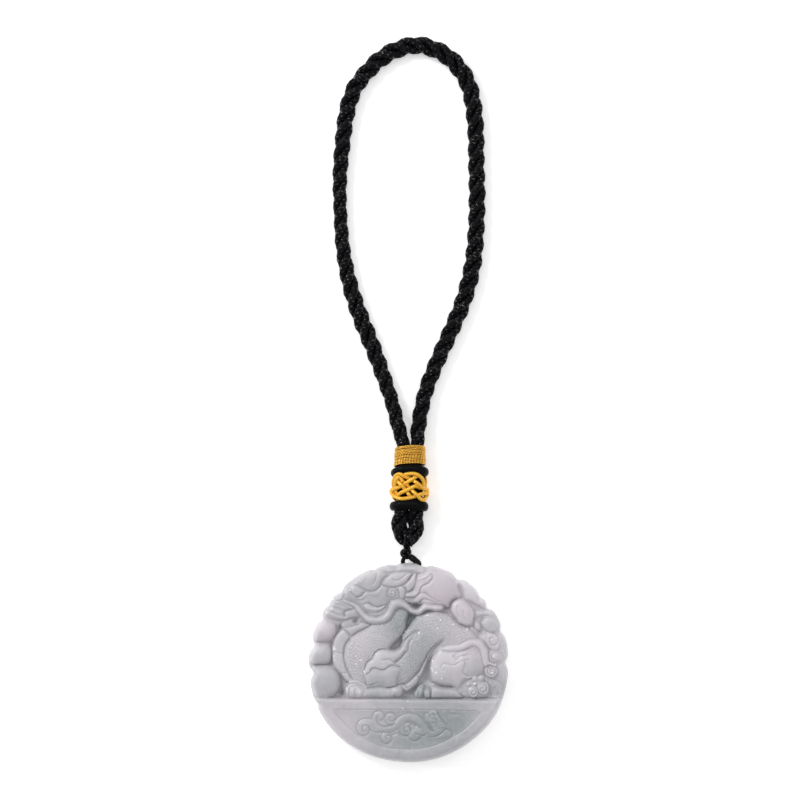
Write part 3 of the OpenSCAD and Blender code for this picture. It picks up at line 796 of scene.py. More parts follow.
# chest bands
band = [(342.8, 628), (339.3, 630.8), (336.5, 634.3), (334, 638.5), (332.7, 644.1), (332.4, 650), (332.4, 656), (333, 663.1), (334.8, 666.6), (337.2, 669.4), (340, 673.3), (343, 677), (346, 681), (352.5, 680), (353.3, 678.5), (351.6, 677.1), (349.8, 674.3), (348.1, 670.8), (346.3, 667.3), (345.3, 663.8), (344.2, 658.9), (343.9, 656), (344.1, 650.4), (344.9, 646.2), (346.3, 642.7), (348.4, 639.9), (350.9, 636.4), (349.8, 634.3), (347, 630.8)]
R.mass(band, 6.5, 0.25, 2.6, floor=4.9, soft=0.3, tilt=(0.015, 0), milk=0.15)
leaf = [(342.8, 628), (347, 627), (352.6, 625.2), (358.2, 623.1), (361, 621.6), (366, 622.3), (370.5, 623.6), (370.1, 624.9), (366.6, 627), (363.1, 629), (358.2, 631.2), (354, 634), (350.9, 636.4), (349.8, 634.3), (347, 630.8)]
R.mass(leaf, 6.5, 0.5, 2.0, floor=5.0, soft=0.3)
R.groove([(343, 628), (347, 630.8), (349.8, 634.3), (351, 636)], 0.3, 0.55)
R.groove([(351, 636.4), (354, 634), (358.2, 631.2), (363.1, 629), (366.6, 627), (370.1, 624.9), (370.6, 623.2)], 0.6, 0.62, taper=0.04)
R.groove([(350.9, 636.4), (348.4, 639.9), (346.3, 642.7), (344.9, 646.2), (344.1, 650.4), (343.9, 656), (344.2, 658.9), (345.3, 663.8), (346.3, 667.3), (348.1, 670.8), (349.8, 674.3), (351.6, 677.1), (353.3, 678.5)], 0.5, 0.6, taper=0.04)
R.groove([(332.6, 650.5), (338.6, 651.9), (344, 652.9)], 0.42, 0.6)
R.groove([(339.8, 673.4), (344.2, 672.3), (348.2, 671.6)], 0.42, 0.6)
R.groove([(342.8, 628), (339.3, 630.8), (336.5, 634.3), (334, 638.5), (332.2, 644.1)], 0.4, 0.8)

# ---- torso, scaled
torso = [(415.3, 614.4), (420, 614), (432, 610.8), (445, 612), (452, 617), (457, 622), (464, 626.3), (470, 628.3), (476, 634), (478, 640), (470, 645), (458, 648), (446, 650), (441, 648), (436, 652), (431, 656.5), (428.3, 659.8), (424, 662), (422.2, 663.5), (420.3, 668), (417.9, 671.7), (416.1, 673.6), (412.7, 677), (409, 680.7), (405.2, 683.3), (398, 684.5), (392, 676), (390, 664), (397, 656), (400, 648), (401.9, 640.6), (401, 636.8), (403.5, 632.7), (406.5, 628), (409, 625.2), (411.2, 621.5), (414.6, 617.7)]
R.mass(torso, 6.2, 1.8, 3.4, floor=4.7, soft=0.5, frost=1.0, tilt=(0.004, -0.004))
R.scales(torso, [(404, 690), (411, 672), (418, 657), (427, 642), (440, 631), (456, 629), (474, 634)], 3.2, 0.15, 2.8)
# belly bands of the torso
belly = [(444.8, 639), (441.8, 640.1), (437.3, 642.4), (433.6, 645), (431.4, 647.2), (428.7, 650.3), (425.9, 655), (424, 659.5), (422.2, 663.5), (420.3, 668), (417.9, 671.7), (416.1, 673.6), (412.7, 677), (409, 680.7), (405.2, 683.3), (401.5, 683.3), (401.2, 686.5), (404.5, 690.6), (407.5, 690.8), (411.2, 688.5), (415.7, 684.8), (417.9, 681.8), (419.8, 677.3), (421.7, 674.3), (423.9, 669.9), (426.1, 664.6), (428, 659.8), (430.5, 655), (433.4, 650.5), (437, 646.5), (441, 643)]
R.mass(belly, 6.45, 0.3, 2.2, floor=4.9, soft=0.25, tilt=(0.0, 0.0))
R.groove([(446, 638.8), (441.8, 640.1), (437.3, 642.4), (433.6, 645), (431.4, 647.2), (428.7, 650.3), (425.9, 655), (424, 659.5), (422.2, 663.5), (420.3, 668), (417.9, 671.7), (416.1, 673.6), (412.7, 677), (409, 680.7), (405.2, 683.3), (400.5, 683.6)], 0.4, 0.55, taper=0.12)
for g in ([(425.4, 655), (428.6, 660.2)], [(415.6, 673.5), (420.2, 677.6)], [(403.5, 683.2), (407.8, 687.4)]):
    R.groove(g, 0.45, 0.55)
# dark cleft between belly and thigh
R.mass([(429, 661), (431.5, 661), (430.5, 675), (430.2, 680.3), (424.6, 681.8), (420.2, 684.1), (416.4, 688.5), (414.9, 696.5), (404.5, 696.8), (402.8, 693), (406.7, 690.8), (411.9, 688.5), (416.4, 684.8), (419.4, 681.1), (423.3, 674.5), (426.5, 667)], 4.2, 0, 0.5, floor=4.2, soft=0.9)
# deep gaps between neck and torso
R.mass([(401, 636.6), (402.4, 640.6), (400.6, 644.4), (397.4, 647.8), (393.2, 649), (389.6, 647.4), (393.6, 643), (397.6, 639.4)], 3.6, 0, 0.5, floor=3.6, soft=0.6)
R.mass([(408.2, 614.4), (415.6, 614), (414.8, 617.9), (411.4, 621.8), (409, 625.6), (405.8, 625), (408.0, 620)], 3.7, 0, 0.5, floor=3.7, soft=0.6)
R.groove([(407.6, 624), (406, 628), (403, 632.9), (400.7, 637)], 1.5, 0.9, taper=0.02)
# painted shade: the upper gap between neck and torso is darkened in the colour as well
gap = curve([(408.2, 613.6), (415.8, 613.2), (414.8, 617.9), (411.4, 621.8), (409, 625.6), (405.4, 625.4), (407.6, 620)], True)
R.painted_shade[window(gap)] = np.maximum(R.painted_shade[window(gap)], blur(1.5 * inside(gap, window(gap)), 0.25))

# ---- thigh with its ribbon
thigh = [(440.3, 645), (437.3, 648.2), (433.6, 653.4), (431.4, 657.9), (430.2, 663.1), (429.9, 669.9), (430.2, 675.1), (431.4, 680.5), (435.8, 682.8), (440.3, 684.3), (444.8, 685.4), (450.8, 685.6), (455, 688), (458.2, 690.5), (463, 689), (468, 685), (473, 681), (479, 676.5), (484, 672), (487.5, 667.5), (489.6, 660.2), (489.2, 656), (488.9, 652.1), (488.1, 648.3), (485.5, 644.6), (483.6, 640.9), (481.4, 638.6), (476.9, 637.5), (471.7, 637.5), (467.2, 638.6), (463.5, 640.1), (459.7, 642.4), (455.3, 643.1), (450, 643.5), (444.8, 644.6)]
R.mass(thigh, 6.5, 1.9, 3.8, floor=4.8, soft=0.5, k=2.2, tilt=(-0.012, 0.0), milk=0.25)
# recess under the ribbon
rec = [(455.3, 652.2), (459.7, 651.6), (464.2, 650.4), (468.7, 648.6), (472.1, 647), (475.4, 647.6), (478.4, 650), (480.1, 654), (481, 659), (482.1, 664), (483, 669), (482.1, 673), (479.1, 674.7), (474.7, 675.5), (469.4, 675.5), (465.7, 674.3), (463.1, 672.1), (462.5, 668), (464, 663), (463, 659), (458, 658.2), (455, 657.4), (453.4, 655)]
w, m = window(curve(rec, True)), inside(curve(rec, True), window(curve(rec, True)))
pf = puff(m)
R.H[w] -= np.where(m, 0.55 + 0.0 * pf, 0)
R.H[w] = np.where(blur(m.astype(float), 0.5) > 0.02, R.H[w] * 0.35 + 0.65 * blur(R.H[w], 0.45), R.H[w])
R.bump(473.5, 668.5, 8.0, 0.35, ry=5.6)
rib_o = [(440.3, 647.2), (444.8, 645), (450, 643.5), (455.3, 643.1), (459.7, 642.4), (463.5, 640.1), (467.2, 638.6), (471.7, 637.5), (476.9, 637.5), (481.4, 638.6), (483.6, 640.9), (485.5, 644.6), (488.1, 648.3), (488.9, 652.1), (489.2, 656), (489.6, 660.2), (492.6, 663), (496.3, 662.4)]
rib_i = [(484.6, 667.5), (482.1, 663), (481, 658.4), (480.1, 653.5), (478.4, 649.4), (475.4, 647), (472.1, 646.4), (468.7, 648), (464.2, 649.8), (459.7, 651), (455.3, 651.3), (449, 651.5), (444, 650.5)]
R.mass(rib_o + [(495, 666.5), (489.5, 668)] + rib_i, 7.5, 0.55, 2.8, floor=5.4, soft=0.35, tilt=(-0.006, 0.004), milk=0.3)
R.H[window(np.array([(436.0, 640), (456, 656)]))] = blur(R.H[window(np.array([(436.0, 640), (456, 656)]))], 0.5)
R.groove([(455.3, 651.5), (459.7, 651.2), (463.5, 650.1), (467.2, 648.3), (471, 646.8)], 0.35, 0.6)
R.groove([(453.2, 653.2), (453.4, 656.3), (455.6, 658), (458, 657.9), (461.2, 656.1), (463.5, 654.8), (468, 654), (472, 652.5)], 0.4, 0.6)
R.welt([(454.6, 654.6), (458.5, 654.8), (462.5, 652.9), (466, 651.6)], 0.3, 1.0)
R.groove([(441.4, 667.9), (441.0, 665.8), (442.6, 663.5), (445.5, 662.6), (448.5, 663.2), (451.5, 664.1), (456, 663.5), (459, 661.3), (462, 659.8), (465.7, 659.2), (470, 658.7)], 0.42, 0.62)
R.groove([(440.6, 666.5), (441.6, 669.4), (444, 669.6), (445, 667.6)], 0.3, 0.6)
R.bump(465, 670.2, 1.2, 0.25, ry=2.2)
R.groove([(462.2, 668.5), (462.6, 672.1), (465.7, 674.5), (469.4, 675.7), (474.7, 675.7), (479.1, 674.9), (482.5, 673.2)], 0.5, 0.7)

# ---- hooks and curls at the lower right
def curl(x, y, r, top, floor=5.4, start=120, turns=1.15, hand=1, ball=0.42):
    R.dome(x, y, r, top, floor=floor, k=2.6, mode="max")
    R.spiral(x, y, r * 0.98, r * 0.42, turns, start, 0.55, 0.62, hand)
    R.bump(x, y, r * ball, 0.25)

R.mass([(486, 633), (491, 631.4), (496, 634), (499.4, 640), (499.5, 646.5), (496, 650), (490.5, 649.5), (486.6, 645.5), (484.8, 639.5)], 6.5, 0.5, 1.8, soft=0.3)
R.groove([(485.1, 639.4), (486.8, 634.8), (489.6, 632.7), (493.6, 632.8), (496.9, 635.7), (498, 639.8), (496.2, 643.5), (492.6, 644.6), (489.8, 642.2), (489.6, 638.6), (491.8, 636.8), (494, 638)], 0.5, 0.62, taper=0.04)
R.groove([(485.1, 642.4), (487.4, 646.1), (489.6, 649.8)], 0.5, 0.8)
R.dome(493.8, 656.2, 6.9, 7.1, floor=5.4, k=2.6, mode="max")
R.groove([(490.2, 650.2), (488.6, 654), (489, 658.6), (491.8, 661.6), (495.8, 661.4), (498.5, 658.2), (498.6, 654), (496, 651.4), (492.6, 652), (490.9, 655), (491.6, 658.6), (494.4, 659.8)], 0.5, 0.6, taper=0.04)
R.groove([(500.1, 650.6), (502.7, 655.1), (501.8, 661), (497.8, 665.5)], 0.45, 0.9)
R.bump(494.1, 656.4, 2.0, 0.3)
R.mass([(485.8, 665.2), (489, 663.8), (493.5, 665), (497, 667.6), (497.6, 672), (494.6, 676.2), (489.6, 677.4), (485.4, 675), (483.6, 670.5)], 6.6, 0.5, 1.8, soft=0.3)
R.groove([(489.2, 667), (487.2, 669.6), (488.2, 673), (491.4, 674.6), (494.6, 672.6), (494.9, 669.2), (492.6, 667.4), (490.4, 668.8), (490.7, 671.6), (492.4, 672.2)], 0.5, 0.6, taper=0.04)
R.groove([(484.5, 664.4), (483.4, 668.8), (483.6, 673), (486.6, 677)], 0.5, 0.8)

# ridges in the wedge between the curls and the edge
R.mass([(490, 678), (496, 679), (503, 684), (505, 692), (501, 698), (492, 698), (489, 692), (487, 684)], 5.5, 0.4, 2.4, soft=0.5)
R.welt([(488.5, 679.2), (491.2, 683.2), (494.6, 687)], 0.45, 1.2)
R.welt([(491.5, 695.2), (496, 697), (500.5, 699)], 0.4, 1.0)
R.pit(497.8, 693.6, 2.0, 0.5)

# ---- hind foot and its curls
R.mass([(430.8, 686.2), (436, 685.2), (444, 686.4), (452, 687), (457.5, 688.6), (461, 690.5), (463, 694), (461, 697), (450, 697.2), (440, 697.2), (430.6, 697)], 7.1, 0.5, 3.0, floor=4.9, soft=0.35)
R.mass([(463, 680), (469, 677.6), (476, 674.8), (481, 673.8), (484.6, 676), (484.5, 681), (489, 683), (489.6, 689), (487, 695.5), (480, 697), (470, 697), (462.5, 696), (459, 692), (459, 688)], 6.4, 0.7, 2.6, floor=5.0, soft=0.3)
R.melt(459.6, 689.0, 5.0, 1.6)
R.melt(463.5, 680.5, 5.0, 1.4)
for x, y, r in ((474.6, 678.0, 3.4), (480.8, 677.2, 3.2), (468.6, 683.2, 2.9), (475.2, 683.0, 2.2)):
    R.dome(x, y, r, 7.4, floor=6.4, mode="max")
R.groove([(471.5, 680.6), (474.5, 681.3), (477.8, 680.4), (480, 681)], 0.4, 0.6)
R.groove([(465.6, 685.9), (468.6, 686.2), (471.2, 684.6)], 0.35, 0.6)
R.mass([(476.5, 683.6), (481, 681.2), (486.6, 681.6), (489.2, 685.5), (488.8, 691), (485.4, 694.4), (480, 693.8), (476.6, 690)], 7.0, 0.4, 1.5, floor=5.4, soft=0.25)
R.groove([(476.9, 687.8), (478.2, 684.4), (481.4, 682.8), (484.9, 683.9), (486.4, 687.2), (485.2, 690.8), (481.8, 691.1), (480.4, 688.6), (482, 686.6), (483.4, 687.4)], 0.38, 0.6, taper=0.04)
R.mass([(468.2, 687.5), (471.5, 684.8), (475.6, 685.6), (478.2, 689.2), (477.8, 694.4), (474, 697), (469.4, 695.8), (467.4, 691.6)], 7.2, 0.4, 1.4, floor=5.4, soft=0.25)
R.groove([(468.6, 690.4), (469.7, 687.4), (472.4, 686.4), (475.1, 687.8), (476.2, 690.4), (475.4, 693.4), (472.6, 694.2), (470.9, 692.2), (472.2, 690.2), (473.6, 690.9)], 0.36, 0.58, taper=0.04)
R.dome(427.2, 692.2, 4.0, 7.7, ry=5.6, floor=5.2, k=2.4)
R.groove([(430.6, 686.5), (430.9, 692), (430.4, 697)], 0.5, 0.6)
for a, b in (((420.6, 690.4, 4.6, 7.2, 6.8), (12)), ((416.8, 692.8, 3.0, 6.6, 4.4), (10))):
    R.dome(a[0], a[1], a[2], a[3], ry=a[4], turn=b, floor=4.9, mode="max")
R.groove([(421.7, 684.8), (419.2, 688.2), (417.9, 692.3), (417.8, 696)], 0.45, 0.6)
R.groove([(424.5, 686.2), (423.4, 690), (423.6, 694.4), (424.6, 697)], 0.4, 0.6)
R.groove([(431.4, 681.6), (435.8, 683), (440.3, 684.5), (444.8, 685.6), (450.8, 685.7), (453.8, 686.3), (456, 688), (458.4, 690.4)], 0.55, 0.7, taper=0.03)

# ---- foreleg: flame tip, shoulder, forearm
arm = [(415.9, 630.2), (412.7, 631.9), (409.7, 634.2), (406.7, 636.4), (403.7, 640), (401.6, 644), (399.6, 647.4), (396, 649.4), (391.1, 649.2), (386.2, 648), (382, 647.8), (378.5, 648.5), (375.5, 650.3), (373.2, 653), (372, 656.7), (369.4, 658.9), (366.6, 661), (365.2, 664.5), (363.8, 668.7), (363.5, 672.9), (364.2, 677.1), (365.5, 681.5), (367, 686), (373, 688), (384, 688), (391, 686.5), (396, 685.2), (396.7, 680.6), (397.4, 678.5), (398.1, 675.7), (400.2, 672.2), (402.2, 669.4), (400.9, 666.8), (397, 664.6), (395.6, 661.8), (399.5, 658.7), (402.5, 655.7), (405, 652.5), (408.2, 650.3), (408.8, 647.6), (409, 643.9), (410.1, 640.5), (412.7, 637.9), (416.1, 635.7), (418.6, 632.2), (418.4, 629.8)]
R.mass(arm, 7.0, 1.2, 3.4, floor=4.9, soft=0.4, k=2.2, tilt=(-0.004, 0.0), milk=0.2)
G1 = [(380.6, 658.8), (384.1, 658.9), (387.6, 658.3), (390.4, 658.6), (392.5, 660), (395.3, 661.3), (398.1, 660.3), (400.2, 658.2), (403, 655), (405.8, 652.6), (409.3, 650.1)]
R.groove(G1, 0.5, 0.7, taper=0.1)
G2 = [(369.8, 670.6), (370.8, 668.4), (372.9, 667.2), (375.7, 667), (378.5, 668), (382, 668.8), (385.5, 667.8), (388.3, 665.6), (391.1, 664.6), (394.6, 664.8), (398.1, 666), (401.5, 666.8)]
R.groove(G2, 0.6, 0.7, taper=0.06)
R.mass(G2 + [(401.9, 669.4), (400.2, 672.2), (398.1, 675.7), (397.4, 678.5), (396.6, 681), (396, 685), (388, 687), (376, 687), (368.5, 685), (366.3, 681), (365.4, 677), (366, 673)], 7.1, 0.9, 2.8, floor=6.6, soft=0.4)
R.welt([(364.6, 668.5), (364.5, 673.5), (365.4, 678)], 0.15, 1.1)
R.welt([(390.5, 661.2), (393.4, 663.2), (396.4, 664)], 0.2, 0.9)
R.groove([(364.3, 679.5), (366.6, 683.2), (370.1, 684.6), (374, 683.4), (378.8, 681)], 0.4, 0.8)
R.melt(414.5, 632.5, 6.5, 1.6)
R.melt(443.5, 640.0, 5.5, 1.6)
R.melt(439.0, 606.5, 6.0, 1.2, 0.6)
# front foot
R.mass([(347, 683.5), (351, 680.6), (356, 680.6), (361, 682.4), (366, 686), (372, 686), (380, 685.6), (388, 686.4), (395, 685), (400.5, 684.2), (403.3, 687.5), (403, 693), (400.4, 696), (395, 696.4), (390, 697), (382, 697.4), (373, 696.8), (364, 697.2), (355, 697.2), (347.5, 697), (344.6, 693), (344.9, 688)], 7.0, 0.7, 3.0, floor=4.9, soft=0.35, milk=0.15)
R.ridge([(350.2, 681.2), (354, 680.6), (358, 681.2), (362.6, 683.3), (366.2, 686.4)], 7.7, 3.6, floor=6.5, mode="max")
R.melt(381.0, 686.6, 6.0, 1.7)
R.groove([(350.2, 685.4), (353.3, 684.9), (356.8, 684.6), (359.6, 685.3), (362.4, 687.2), (365, 688.4)], 0.4, 0.65)
R.groove([(350.4, 685.6), (349.0, 690), (349.4, 696.6)], 0.45, 0.6)
R.groove([(355.4, 687.4), (355.2, 691.5), (355.9, 696.4)], 0.5, 0.6)
R.groove([(364.8, 688.2), (364.6, 691.5), (361.8, 696.2)], 0.3, 0.7)
for x, y, r, ry in ((347.2, 690.4, 2.3, 4.6), (352.1, 691.2, 2.9, 4.8), (359.6, 691.8, 4.2, 4.6)):
    R.bump(x, y, r, 0.4, ry=ry)
R.bump(396.9, 690.2, 4.4, 0.5)
R.groove([(386.2, 686.4), (389, 686.9), (391.8, 686.2), (394.6, 685), (397.4, 684.2), (400.9, 683.3), (403.7, 683.6), (405.8, 685)], 0.45, 0.7)
R.groove([(391.8, 688.5), (390.8, 692), (392.6, 695.4)], 0.2, 0.9)
R.pit(394.6, 695.2, 1.5, 0.5)
R.pit(341.8, 692.6, 2.6, 0.9)
R.groove([(340.4, 673.6), (341.6, 680), (342, 688.3), (341.6, 695)], 0.7, 0.9, taper=0.05)

# ---- head: snout, cheek, brow, hair, ear
snout = [(321, 612), (323.5, 602), (329, 594.6), (336, 590.5), (344, 590), (348, 592), (352, 597), (358, 602), (364, 607), (364, 614), (360, 617.5), (352, 618.6), (344, 620.6), (337, 620.2), (329, 618)]
R.mass(snout, 6.6, 0.7, 3.0, floor=5.2, soft=0.4)
cheek = [(343, 592), (349, 585), (357, 578), (368, 571), (384, 568), (398, 569), (408, 575), (409, 586), (406, 596), (399.5, 599.4), (392, 599.5), (387, 609), (382, 614), (372, 615.4), (364, 611), (358, 604), (350, 600), (344, 597)]
R.mass(cheek, 6.5, 1.2, 3.4, floor=5.6, soft=0.4)
R.mass([(449, 600), (441, 597), (430, 600), (419, 604), (409, 602), (404, 597), (412, 590), (424, 586), (432, 590), (445, 590)], 6.6, 0.2, 2.5, floor=6.2, mode="max", soft=0.6)

# rim band over the brow
R.mass([(345.5, 581), (353, 574.5), (362, 569.5), (374, 566), (388, 563.6), (400, 562.4), (412, 562.6), (421, 566), (426, 570.5), (421, 573.5), (412, 571.8), (404, 571.5), (396, 571), (389, 573.4), (383, 569.8), (376, 570.4), (367, 572), (359, 576.6), (352, 583)], 6.9, 0.5, 2.6, floor=5.8, soft=0.35, milk=0.1)
# brow
R.mass([(353, 583.4), (357, 578), (364, 573), (371, 571), (377.5, 570.2), (384, 571.4), (388.8, 574.8), (385.5, 576.5), (383.4, 579), (381.6, 581.8), (381, 585), (378.5, 588.1), (375, 590.3), (370.8, 591), (365.9, 590.3), (363.1, 588.4), (359.6, 586.6), (356.1, 585)], 7.5, 0.7, 2.8, floor=6.3, soft=0.35, milk=0.12)
R.groove([(377.3, 570.4), (376.4, 575.5), (375.3, 580.4), (372.6, 584.4)], 0.45, 0.8)
R.groove([(368.8, 574.6), (367, 578), (364.2, 580.8)], 0.18, 0.9)
R.groove([(355.6, 584.6), (359.6, 586.2), (363.1, 588.6), (365.9, 590.5), (370.8, 591.3), (375, 590.6), (378.6, 588.4), (381.2, 585.2), (381.8, 581.8), (383.5, 579), (385.6, 576.5), (388.6, 574.9)], 0.5, 0.7, taper=0.04)
# nose
R.mass([(350.3, 586), (351.2, 591.6), (354, 595.3), (357.5, 596.6), (361, 595.6), (363.3, 593.2), (365.9, 590.9), (363, 587.8), (359, 585.6), (354.5, 584)], 7.4, 0.7, 2.6, floor=6.4, soft=0.3, milk=0.25)
R.groove([(350.2, 587), (351, 591.8), (354, 595.6), (357.5, 597), (361.2, 595.8), (363.6, 593.2), (366, 591)], 0.45, 0.75, taper=0.06)
R.groove([(354.8, 598.8), (360, 599.8), (364.5, 598.6), (367.5, 596)], 0.3, 0.9)
# eye and cheek creases
R.groove([(369, 594.6), (374, 596.4), (380, 595), (384, 591.8)], 0.14, 1.4)
# left rim and snout details
R.mass([(334.4, 597.2), (337, 593.6), (341, 592.4), (343.6, 595), (342.6, 599), (338.6, 600.8), (335.2, 600.2)], 7.1, 0.4, 1.8, floor=6.2, soft=0.25)
R.pit(344.6, 594.6, 1.7, 0.8)
R.ridge([(331.5, 601.6), (336, 599.8), (341, 600), (346, 600.6)], 7.0, 3.2, floor=6.3, mode="max", taper=0.2)
for p in ([(328.4, 604.6), (333.4, 606.6), (339.6, 608.4), (343.4, 611.4)], [(325.6, 608.6), (330.9, 611), (337, 613.4), (342, 615)],
          [(324.6, 613.2), (330.9, 616.8), (335.8, 619.2), (341.4, 619.8), (347.6, 618.8), (353, 617)], [(334.4, 603.4), (340, 604.4), (345.6, 605.4), (350, 606.6)]):
    R.groove(p, 0.24, 0.8)
for p in ([(330, 603), (335, 604.9), (341, 606.4), (346.5, 607.8)], [(327, 607), (332, 609.2), (338, 611.2), (343.2, 613.4)], [(327.5, 611.5), (333, 614.6), (338.6, 616.6), (345, 617)]):
    R.welt(p, 0.14, 0.8)
R.groove([(354.6, 608.6), (349.8, 609.3), (346.8, 610.2), (344.9, 611.4), (344.2, 613.6), (345.8, 616.4)], 0.9, 1.2, taper=0.1)
R.pit(355.8, 620.3, 3.3, 1.9)
R.mass([(343.5, 621), (348, 618.8), (353, 617.2), (358.5, 616.6), (361.5, 620.6), (358.2, 623.1), (352.6, 625.2), (347, 627), (342.8, 628), (341.5, 624.6)], 6.1, 0.2, 1.8, floor=5.2, soft=0.3)
R.pit(355.8, 620.6, 2.6, 1.9)
# lip
R.mass([(363.1, 604.6), (365.9, 602.6), (368.6, 601.8), (371.5, 603.6), (374.5, 605.2), (379, 605.6), (383.4, 604.2), (387.3, 603.6), (385.6, 606.6), (382.4, 609.4), (378, 611), (373.4, 611.2), (368.6, 610.6), (365.2, 609.2)], 7.0, 0.4, 1.8, floor=6.1, soft=0.25, milk=0.25)
R.groove([(367.6, 601.6), (371.5, 603.9), (374.4, 605.5), (378.5, 606), (382.9, 604.5)], 0.6, 0.7)
R.groove([(364.6, 611), (370.1, 612.4), (375.7, 612.6), (380.6, 611.3), (384.2, 608.6), (386.6, 604.6)], 0.55, 0.9)
R.welt([(365, 606.2), (369.6, 608.2), (375, 609), (380, 608), (384, 605.6)], 0.15, 0.8)

# hair behind the ear: lens lock, then the flame locks
R.mass([(382, 583.9), (383.6, 580), (386, 577), (388.8, 574.8), (392, 572.2), (398, 571.2), (405, 571.4), (411, 572.2), (413.9, 573), (411.9, 574.2), (410.5, 576.2), (407.8, 579.5), (405.8, 582.3), (403, 584.3), (398.8, 586), (393.9, 586.8), (389, 586.9), (385.5, 585.8)], 7.5, 0.4, 2.4, floor=6.2, soft=0.3, milk=0.3)
R.groove([(391.8, 577.6), (393.6, 579), (396.4, 579.6), (399.8, 578.9), (403, 576.7), (405.4, 574.2), (407.4, 572.6)], 0.5, 0.7)
R.groove([(381.6, 583.6), (385.5, 585.9), (389, 587.1), (393.9, 587), (398.8, 586.2), (403, 584.5), (405.9, 582.4), (408, 579.5), (410.6, 576.2), (412, 574.2), (414.2, 572.6)], 0.55, 0.7, taper=0.04)
R.mass([(404.6, 584.2), (408.4, 580), (411, 576.4), (413.8, 573), (416.4, 573.4), (416.2, 578), (415.4, 583), (413.2, 587.2), (410.6, 589.8), (407.4, 591.2), (405.6, 588.2)], 7.5, 0.3, 1.9, floor=6.2, soft=0.3)
R.mass([(406.4, 592.4), (410.6, 591.4), (414.6, 588.6), (416.6, 584.2), (418, 580.6), (422, 578.6), (426, 577.4), (429.6, 573.8), (432.2, 573.6), (432.6, 577.6), (430.4, 580.6), (427.6, 583.2), (423.9, 584.8), (421.2, 587), (420.2, 590), (419, 593.4), (415.7, 596), (411.2, 597), (406.4, 596.8), (404.6, 594.6)], 7.6, 0.3, 1.9, floor=6.3, soft=0.3)
R.groove([(404.6, 597), (408, 597.4), (411.4, 597.4), (415.9, 596.3), (419.2, 593.5), (420.4, 589.8), (421.4, 587.1), (424.2, 585), (427.8, 583.5), (430.4, 580.8), (433.2, 577.6)], 0.4, 0.7, taper=0.05)
R.groove([(405.4, 591.6), (409.6, 590.4), (413.2, 587.8), (415.6, 583.6), (416.6, 578.9), (416.4, 574.4)], 0.45, 0.65, taper=0.06)
R.groove([(409.5, 594.2), (414, 592.8), (417.4, 589.4), (418.6, 585), (421.4, 582), (425.4, 580.6)], 0.22, 0.6)
R.mass([(413, 600.8), (415.2, 597.2), (418, 594), (421.6, 592), (425.6, 592.2), (428.6, 594.4), (431.8, 597.2), (436, 599.6), (440.4, 600.8), (436, 602), (431.6, 600.6), (428.8, 599.6), (424.8, 598.6), (421.9, 599.4), (419.5, 601.2), (416.6, 603)], 7.5, 0.3, 1.8, floor=6.4, soft=0.3)
R.groove([(416.2, 595.6), (420.2, 591.8), (423.1, 591.2), (426.2, 592), (428.8, 594.2), (432, 597), (437, 599.8)], 0.3, 0.65)
R.groove([(417.4, 603), (419.4, 601.3), (421.9, 599.5), (424.8, 598.7), (429.1, 599.7), (432.4, 600.8), (437, 602.2)], 0.4, 0.65)
R.groove([(417.6, 574.6), (420.6, 575.2), (424.4, 573.4), (427.4, 571)], 0.35, 0.8)

# ear and its curl
R.mass([(398.2, 591), (397.8, 587.4), (402, 585.2), (404.8, 587), (406, 590.4), (405.4, 594.6), (403.9, 597.9), (400.9, 598.4), (399.3, 595.2)], 7.1, 0.4, 1.8, floor=6.3, soft=0.25)
R.dome(392.3, 592.4, 6.1, 7.6, ry=6.3, floor=6.5, k=2.8)
R.groove([(389.4, 588.4), (387.9, 591.8), (388.8, 595.4), (391.9, 597), (395.1, 595.5), (396, 592.6), (394.6, 590.3), (392.2, 589.9), (390.6, 591.9), (391.4, 594), (393.2, 593.9)], 0.55, 0.58, taper=0.03)
R.groove([(388.6, 589), (392, 587.2), (396, 587.6), (398.2, 590.9), (399.2, 595.1), (400.6, 598.2)], 0.5, 0.62, taper=0.05)
R.groove([(402.3, 584.8), (404.6, 586.7), (406, 590.2), (405.3, 594.6), (403.7, 598)], 0.45, 0.65, taper=0.06)
R.pit(416.2, 605.3, 2.7, 1.9)

# ---- whisker
WU = [(343, 598.4), (347, 599.3), (350.5, 601), (355.4, 602.4), (359.6, 604.9), (362.4, 608), (365.2, 611.5), (368.7, 614), (372.9, 615.4), (377.8, 615.7), (382, 614.3), (385.1, 611.9), (387.6, 607.7), (389.3, 602.8), (391.1, 600), (393.9, 598.7), (399.5, 598.2), (403, 598.9), (406.3, 601.3), (409, 603.5), (411.9, 606.2), (414.2, 607.7), (417.2, 608.2), (419.4, 606.7), (422.4, 603.7), (425.4, 602.8), (432, 603.9), (440.3, 604.7)]
WL = [(441.8, 609.5), (435.8, 610.6), (432.1, 609.9), (427.6, 609.5), (424.6, 610.6), (421.7, 612.9), (417.9, 614.4), (413.4, 613.9), (409.7, 612.5), (407.9, 610.8), (405, 608.7), (401.6, 607.5), (397.4, 608.4), (395.3, 610.1), (393.2, 614), (391.1, 617.5), (388.3, 620.3), (384.1, 622.7), (379.2, 623.6), (370.8, 623.2), (367.3, 622), (363.8, 619.2), (360.3, 615.4), (356.8, 611.2), (353.6, 606.6), (348.5, 603.5), (343, 602)]
R.groove(WL[1:-1], 0.7, 1.1, taper=0.03)
R.groove(WU[1:], 0.35, 1.0, taper=0.03)
R.mass(WU + [(443.6, 606.4)] + WL, 7.6, 0.75, 3.2, floor=6.1, soft=0.25, k=2.0, milk=0.4)
R.pit(445.2, 608.2, 2.4, 0.9, ry=1.8)
R.groove([(441, 611.5), (447, 612.4), (452.5, 616.8)], 0.35, 1.0)

